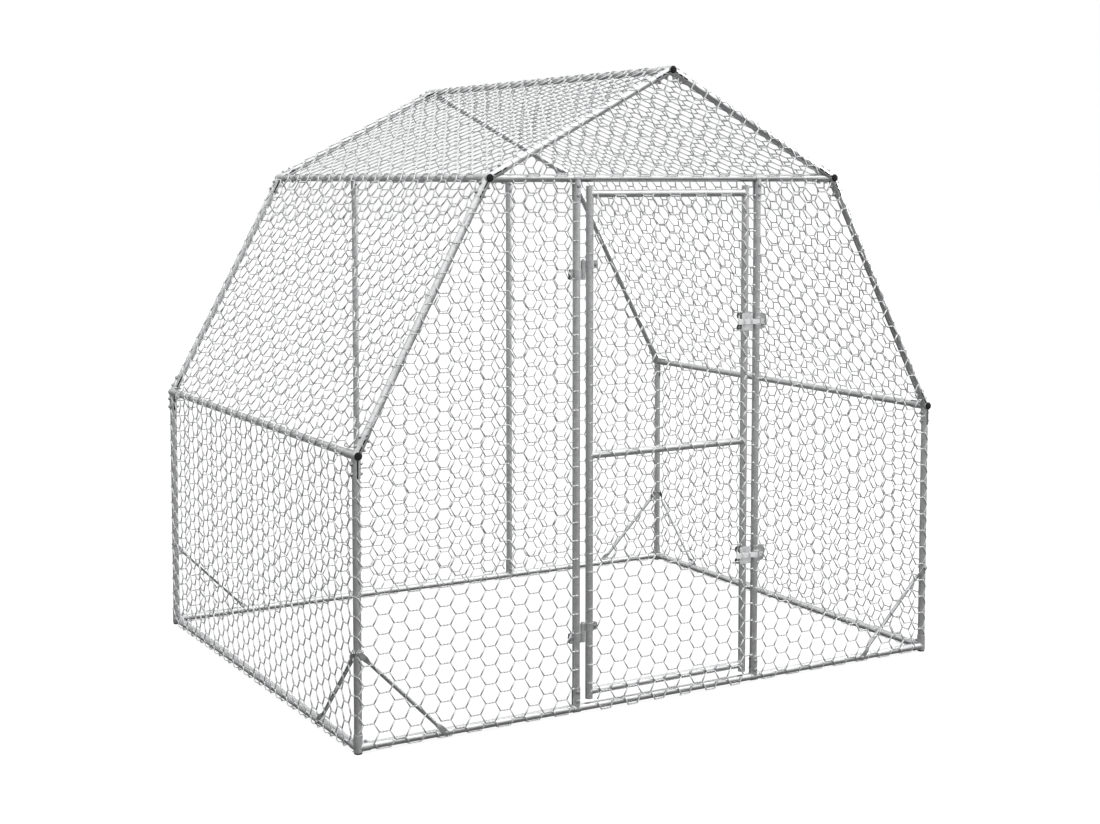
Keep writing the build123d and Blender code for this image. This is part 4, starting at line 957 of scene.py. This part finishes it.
side_outline = np.array([foot2, (-POST_X, foot2[1]), (-POST_X, knee2[1]), knee2, eave2])
hinge_notches = [box_notch(-POST_X - 0.018, low - 0.002, -POST_X + 0.02, low + PIN_H + EYE_H + 0.005)
                 for low in HINGE_LOWS]
netting("front_left", FRONT_PLANE, side_outline, [UNDER_RAIL, 0, BELOW_TIE, ROUND_RAFTER, ROUND_POST],
        quarter_notches + tee_notches + hinge_notches, loose=0, sag=FRONT_SAG)
keeper_notches = [box_notch(POST_X - 0.04, z - 0.030, POST_X + 0.018, z + 0.030)
                  for word, z in LATCH_LEVELS]
netting("front_right", FRONT_PLANE, side_outline[::-1] * OTHER_SIDE,
        [ROUND_RAFTER, BELOW_TIE, ROUND_RAFTER, UNDER_RAIL, ROUND_POST],
        flipped(quarter_notches + tee_notches) + keeper_notches, loose=3, sag=FRONT_SAG)
knee_notches, tie_tee = quarter_notches[4:7], tee_notches[2:3]
gable_notches = knee_notches + flipped(knee_notches) + tie_tee + flipped(tie_tee)
ridge_notches = [notch(ridge2, -upper2, LEG_CUT, CLEAR), notch(ridge2, upper2 * (1, -1), LEG_CUT, CLEAR)]
OUTSIDE_W, OUTSIDE_H = 0.095, 0.2
outside = [box_notch(knee2[0] - OUTSIDE_W, knee2[1] - OUTSIDE_H / 2, knee2[0], knee2[1] + OUTSIDE_H / 2)]
outside += flipped(outside)
netting("gable", FRONT_PLANE, [knee2, knee2 * OTHER_SIDE, ridge2], [BELOW_TIE, ROUND_RAFTER, ROUND_RAFTER],
        gable_notches + ridge_notches + outside)
back_outline = np.array([foot2, foot2 * OTHER_SIDE, eave2 * OTHER_SIDE, knee2 * OTHER_SIDE,
                         ridge2, knee2, eave2])
netting("back", (-FRONT * BACK, -RIGHT, UP, BACK), back_outline,
        [UNDER_RAIL, ROUND_POST] + [ROUND_RAFTER] * 4 + [ROUND_POST],
        quarter_notches + tee_notches + flipped(quarter_notches + tee_notches) + ridge_notches, loose=0)

# Side walls, slopes and roof. A wall's lattice is stretched a little so that its wires run on into those
# of the front and back, and rows carry on over the purlins from wall to slope to roof.
PITCHES_ROUND = 39
ROUND_ARCH = 100 * np.pi / 180
DIAGONAL = 0.7071
corner_arc = LAY * np.pi / 2
reach_x, reach_y = -FOOT[0] + corner_arc / 2, -FRONT + corner_arc / 2
wall_pitch = PITCH * reach_y / (PITCHES_ROUND * PITCH - reach_x)
eave_bend = np.arccos(LOWER[2])
knee_bend = np.arccos(LOWER @ UPPER)
ridge_bend = 2 * np.arcsin(UPPER[2])
slope_long, roof_long = np.linalg.norm(KNEE - EAVE), np.linalg.norm(RIDGE - KNEE)
slope_at = EAVE[2] + eave_bend * LAY
roof_at = slope_at + slope_long + knee_bend * LAY
half_d = -FRONT
at_eave, at_knee, at_ridge = eave_bend / 2, knee_bend / 2, ridge_bend / 2
panels = (("wall", EAVE * (1, 0, 0), UP, -RIGHT, (FOOT[2], EAVE[2]), (UNDER_RAIL, at_eave), 0.0),
          ("slope", EAVE * (1, 0, 1), LOWER, LOWER_OUT, (0.0, slope_long), (at_eave, at_knee), slope_at),
          ("roof", KNEE * (1, 0, 1), UPPER, UPPER_OUT, (0.0, roof_long), (at_knee, at_ridge), roof_at))
for word, origin, over, out, (low, high), (low_wrap, high_wrap), rise_at in panels:
    is_wall = word == "wall"
    outline = box_notch(-half_d, low, half_d, high)
    side_wrap = ROUND_POST if is_wall else ROUND_ARCH
    notches = []
    for u, inward in ((-half_d, RIGHT2), (half_d, -RIGHT2)):
        for v, way, leg in ((low, UP2, CORNER_CUT if is_wall else LEG_CUT), (high, -UP2, LEG_CUT)):
            notches += [notch((u, v), way, leg, CLEAR), notch((u, v), inward, leg, CLEAR)]
    for side, x in (("left", 1), ("right", -1)):
        tabs = []
        if is_wall:
            tabs = [notch((x * half_d, low + REACH), (-x * DIAGONAL, -DIAGONAL), TAB_CUT, TAB_CUT_HALF),
                    notch((x * (half_d - REACH), low), (x * DIAGONAL, DIAGONAL), TAB_CUT, TAB_CUT_HALF)]
        plane = origin * (x, 1, 1), -BACK, over * (x, 1, 1), out * (x, 1, 1)
        wraps = [low_wrap, side_wrap, high_wrap, side_wrap]
        netting(f"{side}_{word}", plane, outline, wraps, notches + tabs, pitch=wall_pitch, odd=1,
                shift=(0.0, -rise_at), loose=0 if is_wall else None)

# The door's net is bent round the hinge stile and cut at the top rail, and its ends stand out past the
# latch stile. It hangs down over the bottom rail and the sill. It is cut, in the order below, for the eye
# straps, the brackets, the bars' travel, the pin straps, the hinge stile's ends and the tees on the sill.
SKIRT_LOW, NET_TOP, NET_PAST, DOOR_RISE = 0.0035, 1.704, 0.0335, 0.0615
ROUND_STILE = 53 * np.pi / 180
outer, inner = -STILE_X - 0.06, STILE_X + 0.06
door_outline = box_notch(-STILE_X, SKIRT_LOW, STILE_X + NET_PAST, NET_TOP)
door_notches = [box_notch(outer, low + PIN_H - 0.002, -STILE_X + 0.018, low + PIN_H + EYE_H + 0.003)
                for low in HINGE_LOWS]
door_notches += [box_notch(STILE_X - 0.024, z - 0.033, inner, z + 0.033) for word, z in LATCH_LEVELS]
door_notches += [box_notch(0.236, z - 0.014, STILE_X, z + 0.027) for word, z in LATCH_LEVELS]
door_notches += [box_notch(outer, low - 0.004, -STILE_X + 0.006, low + PIN_H) for low in HINGE_LOWS]
door_notches += [box_notch(outer, low, -STILE_X + 0.016, high)
                 for low, high in ((-0.01, 0.098), (1.678, 1.76))]
door_notches += [box_notch(-0.40, -0.01, -0.288, 0.052), box_notch(0.312, -0.01, 0.40, 0.052)]
netting("door", FRONT_PLANE, door_outline, [0, 0, 0, ROUND_STILE], door_notches, rise=DOOR_RISE,
        shift=(0.0095, 0.0380), body="door")

# Floor, light and camera
# A wide pale studio floor, one large soft light from the right and a bright sky that darkens downwards,
# which gives the tubes their dark undersides, and high up behind, which edges their tops.
pale = bpy.data.materials.new("studio_floor")
pale.use_nodes = True
ground = pale.node_tree.nodes["Principled BSDF"]
ground.inputs["Roughness"].default_value = 0.9
ground.inputs["Emission Color"].default_value = (1, 1, 1, 1)
ground.inputs["Emission Strength"].default_value = 0.85
spot = pale.node_tree.nodes.new("ShaderNodeTexCoord").outputs["Object"]
tint = joined(pale.node_tree, "ShaderNodeTexNoise", {"Vector": spot, "Scale": 0.4})
wash = joined(pale.node_tree, "ShaderNodeMix", {"Factor": tint.outputs["Fac"], 6: (0.14, 0.14, 0.14, 1),
                                                7: (0.16, 0.16, 0.16, 1)}, data_type="RGBA")
pale.node_tree.links.new(wash.outputs[2], ground.inputs["Base Color"])
FLOOR_HALF = 60
size = np.linspace(-FLOOR_HALF, FLOOR_HALF, 3)
floor_mesh = bpy.data.meshes.new("floor")
grid = np.stack(np.meshgrid(size, size, [0.0], indexing="ij"), -1).reshape(-1, 3)
floor_mesh.from_pydata(grid.tolist(), [], [(0, 3, 4, 1), (1, 4, 5, 2), (3, 6, 7, 4), (4, 7, 8, 5)])
floor_mesh.materials.append(pale)
floor = bpy.data.objects.new("floor", floor_mesh)
bpy.context.scene.collection.objects.link(floor)
floor.visible_glossy = False
floor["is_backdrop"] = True

world = bpy.data.worlds.new("studio")
bpy.context.scene.world = world
world.use_nodes = True
sky = world.node_tree
sky.nodes.clear()
look = sky.nodes.new("ShaderNodeTexCoord").outputs["Generated"]
height = joined(sky, "ShaderNodeVectorMath", {0: look, 1: (0.0, 0.0, 1.0)}, operation="DOT_PRODUCT")
aside = joined(sky, "ShaderNodeVectorMath", {0: look, 1: (0.86, -0.5, 0.0)}, operation="DOT_PRODUCT")
level = joined(sky, "ShaderNodeMath", {0: height.outputs["Value"], 1: 0.5, 2: 0.5},
               operation="MULTIPLY_ADD")
ramp = joined(sky, "ShaderNodeValToRGB", {"Fac": level.outputs[0]})
stops = ramp.color_ramp.elements
stops[0].position, stops[0].color = 0.0, (0.10, 0.10, 0.10, 1)
stops[1].position, stops[1].color = 1.0, (1.85, 1.85, 1.85, 1)
for position, value in ((0.28, 0.12), (0.40, 0.23), (0.50, 0.43), (0.60, 0.66), (0.70, 0.92), (0.78, 1.15),
                        (0.90, 1.65)):
    stop = stops.new(position)
    stop.color = (value, value, value, 1)
glow = joined(sky, "ShaderNodeMapRange",
              {"Value": aside.outputs["Value"], "From Min": -1.0, "From Max": 1.0,
               "To Min": 0.86, "To Max": 1.58})
behind = joined(sky, "ShaderNodeVectorMath", {0: look, 1: (0.22, 0.45, 0.866)}, operation="DOT_PRODUCT")
shade = joined(sky, "ShaderNodeMapRange",
               {"Value": behind.outputs["Value"], "From Min": 0.80, "From Max": 1.0,
                "To Min": 1.0, "To Max": 0.62}, interpolation_type="SMOOTHSTEP")
strength = joined(sky, "ShaderNodeMath", {0: glow.outputs[0], 1: shade.outputs[0]}, operation="MULTIPLY")
lit = joined(sky, "ShaderNodeBackground", {"Color": ramp.outputs[0], "Strength": strength.outputs[0]})
plain = joined(sky, "ShaderNodeBackground", {"Color": (1, 1, 1, 1), "Strength": 1.0})
ray = sky.nodes.new("ShaderNodeLightPath")
both = joined(sky, "ShaderNodeMixShader",
              {0: ray.outputs["Is Camera Ray"], 1: lit.outputs[0], 2: plain.outputs[0]})
joined(sky, "ShaderNodeOutputWorld", {"Surface": both.outputs[0]})

lamp = bpy.data.lights.new("soft_box", "AREA")
lamp.shape, lamp.size, lamp.size_y, lamp.energy = "RECTANGLE", 3.0, 3.0, 300.0
soft_box = bpy.data.objects.new("soft_box", lamp)
soft_box.location = (6.4, -0.9, 3.7)
soft_box.rotation_euler = (np.radians(67.3), 0, np.radians(82))
bpy.context.scene.collection.objects.link(soft_box)

lens = bpy.data.cameras.new("camera")
lens.sensor_width, lens.lens = 36.0, 55.917
lens.shift_y = -0.10
camera = bpy.data.objects.new("camera", lens)
camera.location = (-3.1953, -5.6006, 1.7576)
camera.rotation_euler = (np.radians(90 - 4.165), 0, np.radians(-30.121))
bpy.context.scene.collection.objects.link(camera)
bpy.context.scene.camera = camera
bpy.context.scene.view_settings.view_transform = "Standard"

# Sizes
# The box round the dressed model's visible pieces, the floor left out.
low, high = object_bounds()
